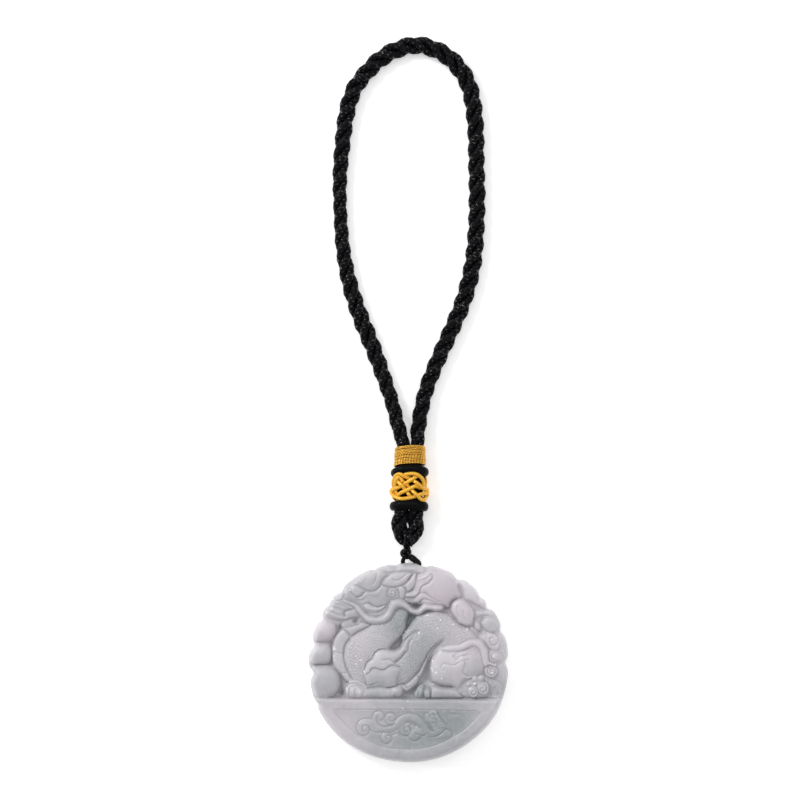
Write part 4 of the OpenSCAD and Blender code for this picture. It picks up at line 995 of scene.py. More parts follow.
# ---- ledge and base
w = (slice(*span(697.2, 768, CY0)), slice(0, NG))
X, Y = AX[None, w[1]], AY[w[0], None]
ledge = 6.9 - 0.0 * X
t = np.clip((Y - 697.6) / 1.6, 0, 1)
foot = np.interp(X, [308, 340, 352, 400, 412, 492, 505], [6.5, 6.3, 5.7, 5.4, 4.6, 4.6, 5.6])
h = foot + (7.2 - foot) * (1 - (1 - t) ** 2) ** 0.5
R.H[w] = h + 0 * X
R.groove([(308, 697.7), (340, 697.9), (352, 698)], 0.15, 0.9, taper=0.02)
R.groove([(346, 698), (361, 698.0), (400, 698.2), (410, 698.2)], 0.3, 0.8, taper=0.1)
R.groove([(400, 698.2), (430, 698.2), (474, 698.6), (490, 698.8), (507, 699.2)], 0.6, 0.85, taper=0.08)
R.groove([(474, 698), (481, 698.2), (488, 698.4)], 0.7, 1.2)
# panel
arc = [(333.7, 710.7), (336.5, 714.2), (340, 717.7), (344.2, 721.9), (348.4, 726.1), (354, 731), (359.6, 735.2), (365.2, 738), (370.1, 740.5), (375, 742.6), (380.6, 744.7), (390, 746.8), (400, 747.5), (407.5, 747.9), (414.9, 747.7), (422.4, 747.1), (429.9, 745.7), (435.8, 743.8), (441.8, 741.5), (447.8, 738.6), (453.8, 735.2), (459, 732.2), (464.2, 728.5), (468.7, 724.4), (473.2, 720.3), (476.9, 715.4), (480.6, 710.9)]
topl = [(478, 710.2), (460, 709.4), (430, 708.6), (400, 708.4), (370, 708.4), (334, 708.5)]
pan = curve(arc + topl, True)
wp = window(pan)
mp = inside(pan, wp)
full = np.full((NG, NG), 3.0)
ww, D, _ = near_line(pan, 3.0)
full[ww] = D
R.H[wp] -= np.where(mp, 0.22 * np.clip(full[wp] / 2.4, 0, 1) ** 0.8, 0)
R.groove(arc, 0.3, 0.5, taper=0.02)
R.groove(topl, 0.4, 0.55, taper=0.02)
# painted shade along the panel's border lines
R.shade(arc, 0.8, 0.6)
R.shade(topl, 0.75, 0.6)

# an engraved scroll line with painted shade darkening the colour along it
def scroll(line, d=0.42, wd=0.58, tp=0.03):
    R.groove(line, d, wd, taper=tp)
    R.shade(line, min(1.0, 1.9 * d), 0.62)

FL = 6.78
# raised figure on the panel: body, curls, head
R.ridge([(371, 727.4), (376, 728.6), (382, 728.4), (388, 728), (394, 726), (398, 722), (403, 717.6), (409, 715.8), (415, 717.4), (420, 721.6), (424.5, 727), (430, 731.8), (436, 732.8), (442, 729.8)], [(0, 7.05), (0.5, 7.25), (1, 7.2)], [(0, 4.5), (0.25, 5.5), (0.5, 8.5), (0.75, 8.0), (1, 5)], floor=FL - 0.2, mode="max", k=2.5)
for x, y, r in ((364, 726.6, 7.6), (378.4, 716, 6.2), (391.2, 717.2, 6.0), (386.4, 737.2, 5.6), (405.2, 729.4, 5.6)):
    R.dome(x, y, r, 7.15, floor=FL - 0.1, mode="max", k=3)
R.ridge([(372, 722), (378, 727), (386, 727.6)], 7.1, 7, floor=FL, mode="max", k=2.5)
R.ridge([(377, 721.5), (382, 723.5), (389, 722.5)], 7.1, 4.5, floor=FL, mode="max", k=2.5)
R.mass([(424.4, 713.2), (428.4, 711.4), (432, 709.6), (437.4, 709.4), (438.9, 713.6), (441.2, 717.2), (443.6, 720), (446, 723), (446.4, 727.6), (443, 731), (437, 734.8), (431, 734), (428.6, 730.4), (431.6, 727.6), (429, 722.6), (425.6, 718.4)], 7.15, 0.2, 1.6, floor=FL, mode="max", soft=0.25)
R.mass([(443, 730.4), (446.6, 728.2), (450.8, 729.8), (452.3, 733.3), (451.2, 736.6), (444, 736.6), (436, 738), (430, 737), (434, 734.4), (440, 733)], 7.05, 0.15, 1.4, floor=FL, mode="max", soft=0.25)
R.mass([(407.4, 734), (409.7, 737.4), (412.7, 739.5), (416, 739.7), (419, 738.2), (420.6, 735.9), (426, 735), (431, 735.6), (430, 731.4), (422, 727.6), (414, 728.6), (409.6, 731.4)], 7.05, 0.15, 1.6, floor=FL, mode="max", soft=0.25)
scroll([(371.9, 718.6), (368, 717.4), (364.5, 717.6), (361, 718.8), (358.2, 721.2), (356.5, 724.7), (356.5, 728.2), (357.9, 731.7), (360.3, 734.2), (363.8, 734.9), (367.3, 733.8), (369.4, 731), (369.8, 728.2), (368.4, 725.4), (365.9, 724.4), (363.5, 725.1), (362.4, 727.5), (363.5, 730), (365.2, 730.3), (365.9, 728.6)])
scroll([(369.8, 728.2), (372.2, 729.6), (375, 731.2), (378.5, 731.7), (381.3, 731), (387.6, 731.7), (391.1, 731.7), (395.3, 730.3), (398.6, 728)])
scroll([(372, 719.4), (372.4, 715.6), (374, 712.8), (375.7, 710.9), (378.5, 709.9), (382, 710.5), (384.1, 712.8), (384.5, 715.6), (382.7, 718.8), (379.9, 719.5), (377.8, 718.4), (377.1, 716), (378.5, 714.6)])
scroll([(376.2, 716.3), (377.2, 720.5), (379.2, 723.4), (382, 725.2), (385.5, 725.5), (389, 724.5), (392.5, 723.9), (395, 721.4)], 0.45)
scroll([(385.3, 717.2), (386.4, 713.7), (390, 711.8), (393.6, 712.5), (395.8, 714.9), (395.4, 717.8), (393.2, 719.9), (390.4, 719.6), (389.2, 717.4), (390.2, 715.4)])
scroll([(384.6, 718.6), (386.7, 722), (389.7, 723.7), (393.9, 723.4)], 0.36)
scroll([(383.4, 731.4), (381.3, 733.8), (381, 737.3), (382.4, 740.8), (385.5, 742.6), (389.4, 741.9), (391.8, 739.4), (392.2, 736.6), (390.4, 734.5), (387.6, 734.2), (386, 736.2), (387.2, 738.2)])
scroll([(390.2, 733.6), (393.4, 733.8), (396.7, 732)], 0.45, 0.9)
scroll([(398.6, 730), (400.2, 733.1), (403, 734.7), (406.6, 734.8), (409.8, 732.7), (410.9, 729.6), (410.1, 726.4), (407.8, 725.3), (405.2, 726.6), (404.6, 729.2), (406.4, 731), (408.2, 730)])
scroll([(395, 720.6), (396.4, 718.4), (398.8, 716), (403, 713.5), (406.5, 712.4), (410, 711.9), (413.4, 712.2), (417.9, 713.9), (421.7, 716.5), (424.6, 719.9), (427.3, 723.6), (429.5, 727), (432.1, 729.6), (435, 730.6)])
R.groove([(427.4, 720.6), (429.1, 723.6), (430.6, 726.6), (432.9, 729.2), (435, 730.4)], 0.65, 1.0, taper=0.1)
scroll([(403.8, 728.4), (404.4, 724.4), (406.7, 721.8), (410.5, 720.9), (414.2, 722), (417.4, 724.6), (420.4, 727.2)])
R.groove([(409.4, 723.6), (413.2, 723.4), (416.6, 725.8)], 0.5, 1.3)
scroll([(407.2, 734.4), (409.4, 737.6), (412.7, 739.6), (415.9, 739.8), (418.9, 738.4), (420.8, 736)])
scroll([(415.6, 732.8), (419.4, 733.7), (422.4, 735.2), (424.6, 733.9), (427, 732.8)])
scroll([(429, 735.4), (434.3, 736), (438.8, 734.3), (441.8, 731.8), (443.3, 729.2), (446.4, 728), (449, 728.5), (451, 730.1), (452.1, 733.3), (451.5, 736.4)])
scroll([(424.2, 718.8), (424, 714.6), (425.6, 712.6), (428.6, 712.6), (430, 714.9), (429.2, 717.6)])
scroll([(437.5, 709.4), (438.5, 713.5), (440.7, 716.9), (443.3, 719.7), (445.2, 722.3), (448, 723.2)])
scroll([(431.4, 711.6), (433.4, 713.6), (436.2, 713.4)], 0.35)
scroll([(430.6, 718.4), (433.4, 717.4), (436.6, 719), (438.4, 722)], 0.3)
scroll([(432, 722.4), (434.6, 721.8), (436.4, 724), (435.6, 726.6)], 0.3)
scroll([(438, 726.4), (440.6, 727.6), (443.4, 726.6)], 0.3)
scroll([(447.8, 710.2), (449.3, 712.4), (453.8, 713.2), (459.7, 713.5)], 0.25)
scroll([(448.5, 720.6), (453.8, 721.4), (454.9, 725.1)], 0.15)
for i, (x, y) in enumerate(((433, 715.4), (437, 716.2), (434.4, 719.8), (439.2, 719.4), (441.4, 723), (438, 729.4), (433.2, 729.6), (442.6, 726))):
    R.bump(x, y, 0.9, 0.14)

H = R.H
# grooves are shallow beside the masses that they part, and their walls are polished round
lo = blur(H, 2.4)
H = lo + (H - lo) * np.where(H < lo, 0.36, 0.80)
H = 0.45 * H + 0.55 * blur(H, 0.4) + R.fine
FROST = blur(R.frost, 0.6)
# painted shade: colour darkened in hollows, from the height chart's curvature, and along the painted shade lines; less
# on frosted scales, more on the panel
near = H - blur(H, 0.8)
dark = np.full((NG, NG), 0.125)
dark[wp] = np.where(mp, 0.075, dark[wp])
CAVITY_SHADE = np.maximum(blur(np.clip(-near / dark - 0.12, 0, 1), 0.15) * (0.58 - 0.08 * FROST), blur(R.painted_shade, 0.15))
# the border of the base is milkier than its panel
below = (AY[:, None] > 705) & np.ones((1, NG), bool)
out = below.copy()
out[wp] &= ~mp
TINT = blur(R.tint + np.where(out, 0.42, 0.0), 0.5)

# ---------------------------------------------------------------- disc mesh

NOTCH = [(0, .9, 3), (19, .8, 2.6), (35, 1.25, 2.8), (42.5, .75, 3), (60, .95, 2.6), (81, 1, 2.8), (97.5, .45, 2), (110, .4, 1.6),
         (133.5, .75, 2.6), (144, .4, 2), (153.5, .95, 2.6), (169.5, 1.1, 3.2), (186, 1.15, 3.4), (204, .4, 1.8), (265, .2, 16)]
SWELL = [(120, .25, 12), (218, .5, 24), (328, .35, 14)]


def outline(deg):
    """The disc's radius in mm at an angle in degrees."""
    r = np.full_like(deg, 27.6)
    for sign, rows in ((-1, NOTCH), (1, SWELL)):
        for p, d, w in rows:
            q = (deg - p + 180) % 360 - 180
            r = r + sign * d * np.exp(-(q / w) ** 2)
    return r


def sample(field, x, y):
    """Value of a chart at places in mm."""
    u = np.clip((x / PX + CX - CX0) * RES - 0.5, 0, NG - 1.001)
    v = np.clip((CY - y / PX - CY0) * RES - 0.5, 0, NG - 1.001)
    i, j = u.astype(int), v.astype(int)
    fu, fv = u - i, v - j
    return ((field[j, i] * (1 - fu) + field[j, i + 1] * fu) * (1 - fv) + (field[j + 1, i] * (1 - fu) + field[j + 1, i + 1] * fu) * fv)


CELLS = 540
g = np.linspace(-1, 1, CELLS + 1)
gx, gy = np.meshgrid(g, g)
big = np.where(np.abs(gx) > np.abs(gy), gx, gy)
other = np.where(np.abs(gx) > np.abs(gy), gy, gx)
with np.errstate(divide="ignore", invalid="ignore"):
    q = np.where(big == 0, 0, other / np.where(big == 0, 1, big)) * math.pi / 4
ang = np.where(np.abs(gx) > np.abs(gy), q, math.pi / 2 - q)
ang = np.where(big < 0, ang + math.pi, ang)
rho = np.abs(big)
deg = np.degrees(ang) % 360
RO = outline(deg)
rho2 = rho ** 0.985
X, Y = rho2 * RO * np.cos(ang), rho2 * RO * np.sin(ang)
SIDE_TOP = 3.1


def front_face(x, y, edge):
    """Height of the carved face, rounded off towards its edge."""
    wide = 1.5 + 0.5 * np.clip((-9.0 - y) / 3.0, 0, 1)
    tt = np.clip(edge / wide, 0, 1)
    return SIDE_TOP + (sample(H, x, y) - SIDE_TOP) * np.sqrt(np.clip(1 - (1 - tt) ** 2, 0, 1))


Z = front_face(X, Y, (1 - rho2) * RO)
FR = sample(FROST, X, Y)
ring = []
m = CELLS
ring += [(0, i) for i in range(m)] + [(j, m) for j in range(m)] + [(m, m - i) for i in range(m)] + [(m - j, 0) for j in range(m)]
idx = np.arange((m + 1) ** 2).reshape(m + 1, m + 1)
top_v = np.stack([X, Y, Z], -1).reshape(-1, 3)
rim = np.array([idx[a] for a in ring])
faces = np.stack([idx[:-1, :-1], idx[:-1, 1:], idx[1:, 1:], idx[1:, :-1]], -1).reshape(-1, 4)
rx, ry = top_v[rim, 0], top_v[rim, 1]
rr = np.hypot(rx, ry)
verts = [top_v]
count = len(top_v)
prev = rim
walls = []
BORES = (((0.55, 20.9), (-1.75, 27.5)), ((0.55, 20.9), (2.75, 27.2)))
levels = [(2.85, 0), (2.6, 0), (2.35, 0), (2.1, 0), (1.85, 0), (1.55, 0), (1.2, 0), (0.8, 0), (0.5, 0.06), (0.24, 0.24), (0.06, 0.5), (0.0, 0.85)]
for z, inset in levels:
    f = (rr - inset) / rr
    v = np.stack([rx * f, ry * f, np.full_like(rx, z)], -1)
    cur = count + np.arange(len(rim))
    verts.append(v)
    count += len(rim)
    walls.append(np.stack([prev, np.roll(prev, -1), np.roll(cur, -1), cur], -1)[:, ::-1])
    prev = cur
V = np.vstack(verts)
# short mouths of the two slanted bores
for (ax, ay), (bx, by) in BORES:
    d = np.array([bx - ax, by - ay, 0.0])
    d /= np.linalg.norm(d)
    rel = V - np.array([bx, by, 2.2])
    along = rel @ d
    off = np.linalg.norm(rel - along[:, None] * d, axis=1)
    t = np.clip((0.95 - off) / 0.3, 0, 1)
    t = t * t * (3 - 2 * t) * (along > -2.2)
    V = V - d * (t * 1.7)[:, None]


def mesh_of(name, V, quads):
    me = bpy.data.meshes.new(name)
    me.vertices.add(len(V))
    me.vertices.foreach_set("co", np.asarray(V, np.float32).ravel())
    me.loops.add(quads.size)
    me.loops.foreach_set("vertex_index", quads.astype(np.int32).ravel())
    me.polygons.add(len(quads))
    me.polygons.foreach_set("loop_start", (np.arange(len(quads)) * 4).astype(np.int32))
    me.polygons.foreach_set("loop_total", np.full(len(quads), 4, np.int32))
    me.update(calc_edges=True)
    return me


# the fine grid is thinned where the stone is smooth, then closed underneath
me = mesh_of("fine", V * MM, np.vstack([faces] + walls))
ob = bpy.data.objects.new("fine", me)
bpy.context.scene.collection.objects.link(ob)
dec = ob.modifiers.new("thin", "DECIMATE")
dec.ratio = 193000.0 / (2 * len(me.polygons))
bpy.context.view_layer.update()
me2 = bpy.data.meshes.new_from_object(ob.evaluated_get(bpy.context.evaluated_depsgraph_get()))
bpy.data.objects.remove(ob)
bpy.data.meshes.remove(me)
import bmesh
bm = bmesh.new()
bm.from_mesh(me2)
# even triangles: short edges turned, folded slivers drawn together


def edge_of(x, y):
    return outline(np.degrees(np.arctan2(y, x)) % 360) - np.hypot(x, y)


def face_normal(x, y, e=0.07):
    sx = (front_face(x + e, y, edge_of(x + e, y)) - front_face(x - e, y, edge_of(x - e, y))) / (2 * e)
    sy = (front_face(x, y + e, edge_of(x, y + e)) - front_face(x, y - e, edge_of(x, y - e))) / (2 * e)
    return unit(np.stack([-sx, -sy, np.ones_like(x)], -1))


bmesh.ops.triangulate(bm, faces=[q for q in bm.faces if len(q.verts) == 4], quad_method="BEAUTY")
tops = [q for q in bm.faces if q.normal.z > -0.9]
bmesh.ops.beautify_fill(bm, faces=tops, edges=list({q for t in tops for q in t.edges}), method="AREA")
for again in range(3):
    bm.faces.ensure_lookup_table()
    mid = np.array([q.calc_center_median()[:] for q in bm.faces]) / MM
    nrm = np.array([q.normal[:] for q in bm.faces])
    want = face_normal(mid[:, 0], mid[:, 1])
    bad = np.nonzero(((nrm * want).sum(1) < 0.6) & (mid[:, 2] > SIDE_TOP + 0.2) & (edge_of(mid[:, 0], mid[:, 1]) > 0.25))[0]
    short = {min(bm.faces[k].edges, key=lambda q: q.calc_length()) for k in bad.tolist()}
    bmesh.ops.collapse(bm, edges=list(short))
open_edges = [e for e in bm.edges if e.is_boundary]
bmesh.ops.holes_fill(bm, edges=open_edges, sides=0)
bmesh.ops.recalc_face_normals(bm, faces=bm.faces)
me = bpy.data.meshes.new("jade_carved")
bm.to_mesh(me)
bm.free()
me.validate()
V = np.empty(len(me.vertices) * 3)
me.vertices.foreach_get("co", V)
V = V.reshape(-1, 3) / MM
# the thinned face keeps the shading of the fine one
me.polygons.foreach_set("use_smooth", np.ones(len(me.polygons), bool))


vx, vy = V[:, 0], V[:, 1]
fine_n = face_normal(vx, vy)
auto_n = np.empty(len(V) * 3, np.float32)
me.vertex_normals.foreach_get("vector", auto_n)
auto_n = auto_n.reshape(-1, 3)
k = np.clip((edge_of(vx, vy) - 0.15) / 0.5, 0, 1) * (V[:, 2] > SIDE_TOP + 0.2)
k = (k * k * (3 - 2 * k))[:, None]
face_n = unit(auto_n * (1 - k) + fine_n * k)
face_n[V[:, 2] < 0.9] = 0
frost = (sample(FROST, V[:, 0], V[:, 1]) * (V[:, 2] > 3.2)).astype(np.float32)
me.attributes.new("frost", "FLOAT", "POINT").data.foreach_set("value", frost)
# the painted shade, kept per vertex
cavity_shade = (sample(CAVITY_SHADE, V[:, 0], V[:, 1]) * (V[:, 2] > 3.2)).astype(np.float32)
me.attributes.new("cavity_shade", "FLOAT", "POINT").data.foreach_set("value", cavity_shade)


def blobs(rows, base=0.0):
    out = np.full(len(V), base)
    for px, py, r, a in rows:
        x, y = P(px, py)
        out += a * np.exp(-(((V[:, 0] - x) ** 2 + (V[:, 1] - y) ** 2) / (r * PX) ** 2))
    return out.astype(np.float32)


# soft colour zones of the stone: lilac, green-grey and milky
LILAC = [(442, 582, 24, 1.0), (462, 610, 16, 0.9), (478, 592, 14, 0.7), (325, 630, 14, 0.9), (360, 655, 16, 0.55), (330, 718, 22, 0.8), (350, 742, 18, 0.5),
         (470, 640, 20, 0.6), (452, 655, 20, 0.75), (430, 598, 18, 0.5), (395, 578, 12, 0.2), (384, 655, 14, 0.35), (360, 692, 14, 0.45), (445, 690, 14, 0.3), (490, 660, 18, 0.4), (365, 640, 12, 0.3), (478, 668, 14, 0.35)]
GREEN = [(380, 677, 10, .75), (384, 655, 8, .55), (374, 690, 9, .75), (474, 666, 8, .5), (445, 691, 8, .3), (395, 625, 6, .25), (420, 690, 5, .2), (360, 692, 6, .3), (376, 619, 5, .35), (410, 743, 10, .25), (460, 722, 12, .15), (402, 620, 16, 1.1), (412, 660, 18, 0.6), (425, 640, 16, 0.45), (425, 730, 34, 1.0), (455, 722, 22, 0.8), (405, 755, 30, 0.2), (470, 745, 20, 0.15), (392, 600, 12, 0.35), (326, 682, 14, 0.3),
         (372, 606, 16, 0.2), (350, 595, 14, 0.3), (420, 690, 10, 0.6), (318, 655, 12, 0.1), (500, 690, 16, 0.45), (380, 745, 22, 0.4)]
MILK = [(450, 625, 9, .35), (396, 582, 6, .25), (397, 645, 4, .3), (350, 716, 8, .2), (452, 655, 16, 0.8), (384, 652, 14, 0.6), (438, 665, 10, 0.5), (340, 660, 9, 0.4), (360, 690, 10, 0.4), (400, 615, 8, 0.2), (372, 610, 10, 0.25), (325, 735, 18, 0.3), (495, 640, 14, 0.5), (504, 655, 9, 0.9), (503, 636, 8, 0.8), (506, 672, 8, 0.7), (498, 702, 10, 0.6), (486, 598, 10, 0.5), (474, 586, 9, 0.9), (496, 722, 14, 0.5), (478, 742, 12, 0.4), (384, 676, 10, 0.3), (442, 578, 14, 0.3)]
# painted highlights: places of small white glints, painted into the stone's colour rather than reflected
PAINTED_GLINTS = [(334.2, 646.4, .7, .8), (334.0, 648.2, .8, 1), (333.9, 650.0, .6, .6), (333.6, 655.4, .8, .9), (333.8, 657.6, .6, .8), (334.2, 659.6, .6, .5), (364.4, 668.6, .6, .6), (364.1, 670.6, .8, 1), (364.2, 672.8, .6, .7),
         (432.6, 660.2, .8, 1), (432.1, 662.2, .6, .6), (431.7, 665.4, .6, .6), (431.8, 667.6, .9, 1), (432.3, 669.8, .7, .8), (435.6, 664.8, .6, .5), (436.0, 671.4, .8, .8), (441.4, 677.6, .7, .7), (433.6, 674.2, .5, .5),
         (418.8, 632.3, .9, 1), (440.2, 619.2, .7, .8), (453.2, 623.4, .8, .8), (466.8, 628.8, .9, 1), (468, 627.4, .6, .7), (437.6, 627.4, .7, .8), (443, 623.2, .5, .5), (459.2, 657.2, .7, .8), (461, 656.2, .8, 1), (482.8, 622.2, .6, .6),
         (349.8, 589.6, .6, .6), (332.4, 598.6, .8, .6), (337.4, 601.2, .6, .5), (331.6, 607.4, .6, .6), (327, 612, .6, .5), (326.4, 695.2, .6, .8), (346.4, 687.2, .8, .9), (347.4, 689.2, .6, .6), (359.4, 690.8, .6, .7), (361.2, 659, .7, .8),
         (374.6, 706.6, .5, .5), (402.6, 707.2, .7, .8), (407.4, 700, .6, .7), (384.4, 672.2, .5, .4), (474.4, 682.4, .8, .9), (469.4, 687.6, .7, .8), (491.6, 671.8, .7, .9), (490.2, 662.2, .8, .9), (492.4, 663.2, .6, .5), (403, 634.4, .7, .7),
         (405.4, 630.8, .8, .7), (426.8, 614.6, .8, .8), (408.2, 629.6, .5, .6), (407.4, 625.4, .6, .5), (356.2, 655.2, .6, .8), (356, 663, .7, .9), (366.4, 640.2, .5, .5), (372.8, 652.6, .5, .5), (350.6, 668, .5, .6), (444.6, 632.2, .5, .5),
         (458.4, 634.6, .5, .5), (449, 616.8, .5, .6), (418, 688, .5, .5), (421.6, 684.6, .5, .6), (411.8, 640.8, .5, .5), (428.6, 636.8, .5, .4), (386.2, 595.4, .5, .3), (357.6, 647.2, .5, .5), (361.4, 672.6, .5, .5), (347.8, 653.2, .5, .4)]
for nm, f in (("lilac", blobs(LILAC)), ("green", blobs(GREEN)), ("milk", blobs(MILK) + sample(TINT, V[:, 0], V[:, 1]).astype(np.float32)), ("painted_glint", blobs([(x, y, 2.6 * r, a) for x, y, r, a in PAINTED_GLINTS]))):
    me.attributes.new(nm, "FLOAT", "POINT").data.foreach_set("value", f)
for pl in me.polygons:
    if pl.normal.z < -0.999 and pl.area > 1e-6:
        pl.use_smooth = False
me.normals_split_custom_set_from_vertices([tuple(q) for q in face_n.tolist()])
jade_ob = bpy.data.objects.new("jade_carved", me)
bpy.context.scene.collection.objects.link(jade_ob)
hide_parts("jade_disc")
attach(jade_ob, "root")

# ---------------------------------------------------------------- materials


class Mat:
    def __init__(self, name):
        self.m = bpy.data.materials.new(name)
        self.m.use_nodes = True
        self.t = self.m.node_tree
        self.b = self.t.nodes["Principled BSDF"]

    def node(self, kind, **props):
        n = self.t.nodes.new(kind)
        for k, v in props.items():
            if k in n.inputs.keys():
                n.inputs[k].default_value = v
            else:
                setattr(n, k, v)
        return n

    def link(self, a, b):
        self.t.links.new(a, b)

    def coords(self, scale=1000.0):
        """The frame's place in mm."""
        tc = self.node("ShaderNodeTexCoord")
        mp = self.node("ShaderNodeMapping")
        mp.inputs["Scale"].default_value = (scale,) * 3
        self.link(tc.outputs["Object"], mp.inputs["Vector"])
        return mp.outputs["Vector"]

    def noise(self, vec, scale, detail=3.0, rough=0.5, dist=0.0):
        n = self.node("ShaderNodeTexNoise")
        n.inputs["Scale"].default_value = scale
        n.inputs["Detail"].default_value = detail
        n.inputs["Roughness"].default_value = rough
        n.inputs["Distortion"].default_value = dist
        self.link(vec, n.inputs["Vector"])
        return n.outputs["Fac"]

    def ramp(self, fac, *stops):
        n = self.node("ShaderNodeValToRGB")
        e = n.color_ramp.elements
        while len(e) < len(stops):
            e.new(0.5)
        for el, (pos, col) in zip(e, stops):
            el.position = pos
            el.color = (*col, 1) if len(col) == 3 else col
        self.link(fac, n.inputs["Fac"])
        return n.outputs["Color"]

    def rng(self, fac, a, b, c, d):
        n = self.node("ShaderNodeMapRange")
        for k, v in zip(("From Min", "From Max", "To Min", "To Max"), (a, b, c, d)):
            n.inputs[k].default_value = v
        self.link(fac, n.inputs["Value"])
        return n.outputs["Result"]

    def math(self, op, a, b):
        n = self.node("ShaderNodeMath", operation=op)
        for s, v in ((0, a), (1, b)):
            if isinstance(v, (int, float)):
                n.inputs[s].default_value = v
            else:
                self.link(v, n.inputs[s])
        return n.outputs[0]

    def mix(self, fac, a, b, how="MIX"):
        n = self.node("ShaderNodeMix", data_type="RGBA", blend_type=how)
        for s, v in ((0, fac), (6, a), (7, b)):
            if isinstance(v, (int, float)):
                n.inputs[s].default_value = v
            elif isinstance(v, tuple):
                n.inputs[s].default_value = (*v, 1)
            else:
                self.link(v, n.inputs[s])
        return n.outputs[2]

    def attr(self, name):
        return self.node("ShaderNodeAttribute", attribute_name=name).outputs["Fac"]

    def bump(self, height, dist, strength=1.0, normal=None):
        n = self.node("ShaderNodeBump")
        n.inputs["Distance"].default_value = dist
        n.inputs["Strength"].default_value = strength
        self.link(height, n.inputs["Height"])
        if normal is not None:
            self.link(normal, n.inputs["Normal"])
        return n.outputs["Normal"]

    def put(self, **kw):
        for k, v in kw.items():
            s = self.b.inputs[k.replace("_", " ")]
            if isinstance(v, (int, float)):
                s.default_value = v
            elif isinstance(v, tuple):
                s.default_value = v
            else:
                self.link(v, s)


# jade: translucent grey with lilac, green-grey and milky zones, polished, with frosted scales; painted shade darkens
# its hollows and engraved lines, and painted white glints and sparkles stand for highlights
j = Mat("jade")
co = j.coords()
cloud = j.noise(co, 0.13, 3.0, 0.55, 0.6)
fine = j.noise(co, 0.9, 2.5, 0.6, 0.3)
veins = j.noise(co, 0.35, 3.0, 0.6, 1.0)
lil = j.math("MULTIPLY", j.attr("lilac"), j.rng(cloud, 0.3, 0.7, 0.65, 1.25))
grn = j.math("MULTIPLY", j.attr("green"), j.rng(veins, 0.3, 0.7, 0.7, 1.2))
mlk = j.math("MULTIPLY", j.attr("milk"), j.rng(fine, 0.3, 0.7, 0.75, 1.2))
base = j.ramp(cloud, (0.3, (0.485, 0.475, 0.50)), (0.7, (0.55, 0.54, 0.565)))
base = j.mix(j.rng(lil, 0, 1.1, 0, 0.85), base, (0.655, 0.595, 0.64))
base = j.mix(j.rng(grn, 0, 1.1, 0, 0.85), base, (0.315, 0.345, 0.355))
base = j.mix(j.rng(mlk, 0, 1, 0, 0.7), base, (0.68, 0.655, 0.70))
base = j.mix(j.rng(fine, 0.45, 0.75, 0.0, 0.16), base, (0.76, 0.76, 0.77))
frost = j.attr("frost")
# painted sparkle: small white specks painted into the colour on the frosted scales, standing in for glints
speck = j.node("ShaderNodeTexVoronoi", voronoi_dimensions="2D")
speck.inputs["Scale"].default_value = 1.7
j.link(co, speck.inputs["Vector"])
spk = j.rng(speck.outputs["Distance"], 0.1, 0.36, 1.0, 0.0)
painted_sparkle = j.math("MULTIPLY", j.math("MULTIPLY", spk, j.rng(j.noise(co, 1.7, 2.0), 0.48, 0.62, 0, 1)), frost)
base = j.mix(j.math("MULTIPLY", painted_sparkle, 0.32), base, (0.95, 0.95, 0.97))
rough = j.math("ADD", j.rng(fine, 0.3, 0.7, 0.33, 0.44), j.math("MULTIPLY", frost, 0.08))
hb = j.bump(j.noise(co, 5.5, 3.0, 0.6), 0.00002, 0.35)
hb = j.bump(j.math("MULTIPLY", j.noise(co, 3.2, 2.0, 0.5), frost), 0.00006, 0.8, hb)
# painted shade: the colour is drawn towards dark grey in hollows and engraved lines
base = j.mix(j.math("MULTIPLY", j.attr("cavity_shade"), 0.21), base, (0.22, 0.225, 0.235))
# painted highlights: white glint spots on the carved face, scattered dots near the listed places and round spots at
# them
flat = j.node("ShaderNodeVectorMath", operation="MULTIPLY")
flat.inputs[1].default_value = (1, 1, 0)
j.link(co, flat.inputs[0])
flat = flat.outputs[0]
dots = j.node("ShaderNodeTexVoronoi", voronoi_dimensions="2D")
dots.inputs["Scale"].default_value = 1.5
j.link(flat, dots.inputs["Vector"])
pick = j.node("ShaderNodeSeparateXYZ")
j.link(dots.outputs["Color"], pick.inputs[0])
painted_glint = j.math("MULTIPLY", j.rng(dots.outputs["Distance"], 0.1, 0.3, 0.5, 0), j.rng(pick.outputs[0], 0.55, 0.6, 0, 1))
painted_glint = j.math("MULTIPLY", painted_glint, j.rng(j.attr("painted_glint"), 0.1, 0.5, 0, 1))
for gx, gy, gr, ga in PAINTED_GLINTS:
    if ga >= 0.5:
        far = j.node("ShaderNodeVectorMath", operation="DISTANCE")
        far.inputs[1].default_value = (*P(gx, gy), 0)
        j.link(flat, far.inputs[0])
        painted_glint = j.math("MAXIMUM", painted_glint, j.rng(far.outputs["Value"], 0.55 * gr * PX, 1.35 * gr * PX, 0.9 * ga, 0))
hgt = j.node("ShaderNodeSeparateXYZ")
j.link(co, hgt.inputs[0])
painted_glint = j.math("MULTIPLY", painted_glint, j.rng(hgt.outputs[2], 3.0, 3.4, 0, 1))
base = j.mix(painted_glint, base, (1.0, 1.0, 1.0))
j.put(Base_Color=base, Roughness=rough, Normal=hb, IOR=1.62)
# the painted glints glow faintly through emission and scatter little light inside
j.put(Subsurface_Weight=j.rng(painted_glint, 0, 1, 0.8, 0.1), Emission_Strength=j.rng(painted_glint, 0, 1, 0, 0.1))
j.b.inputs["Emission Color"].default_value = (1, 1, 1, 1)
j.b.inputs["Subsurface Radius"].default_value = (1.0, 0.95, 0.95)
j.b.inputs["Subsurface Scale"].default_value = 0.0020
j.b.inputs["Coat Weight"].default_value = 0.04
j.b.inputs["Coat Roughness"].default_value = 0.12
jade_ob.data.materials.append(j.m)


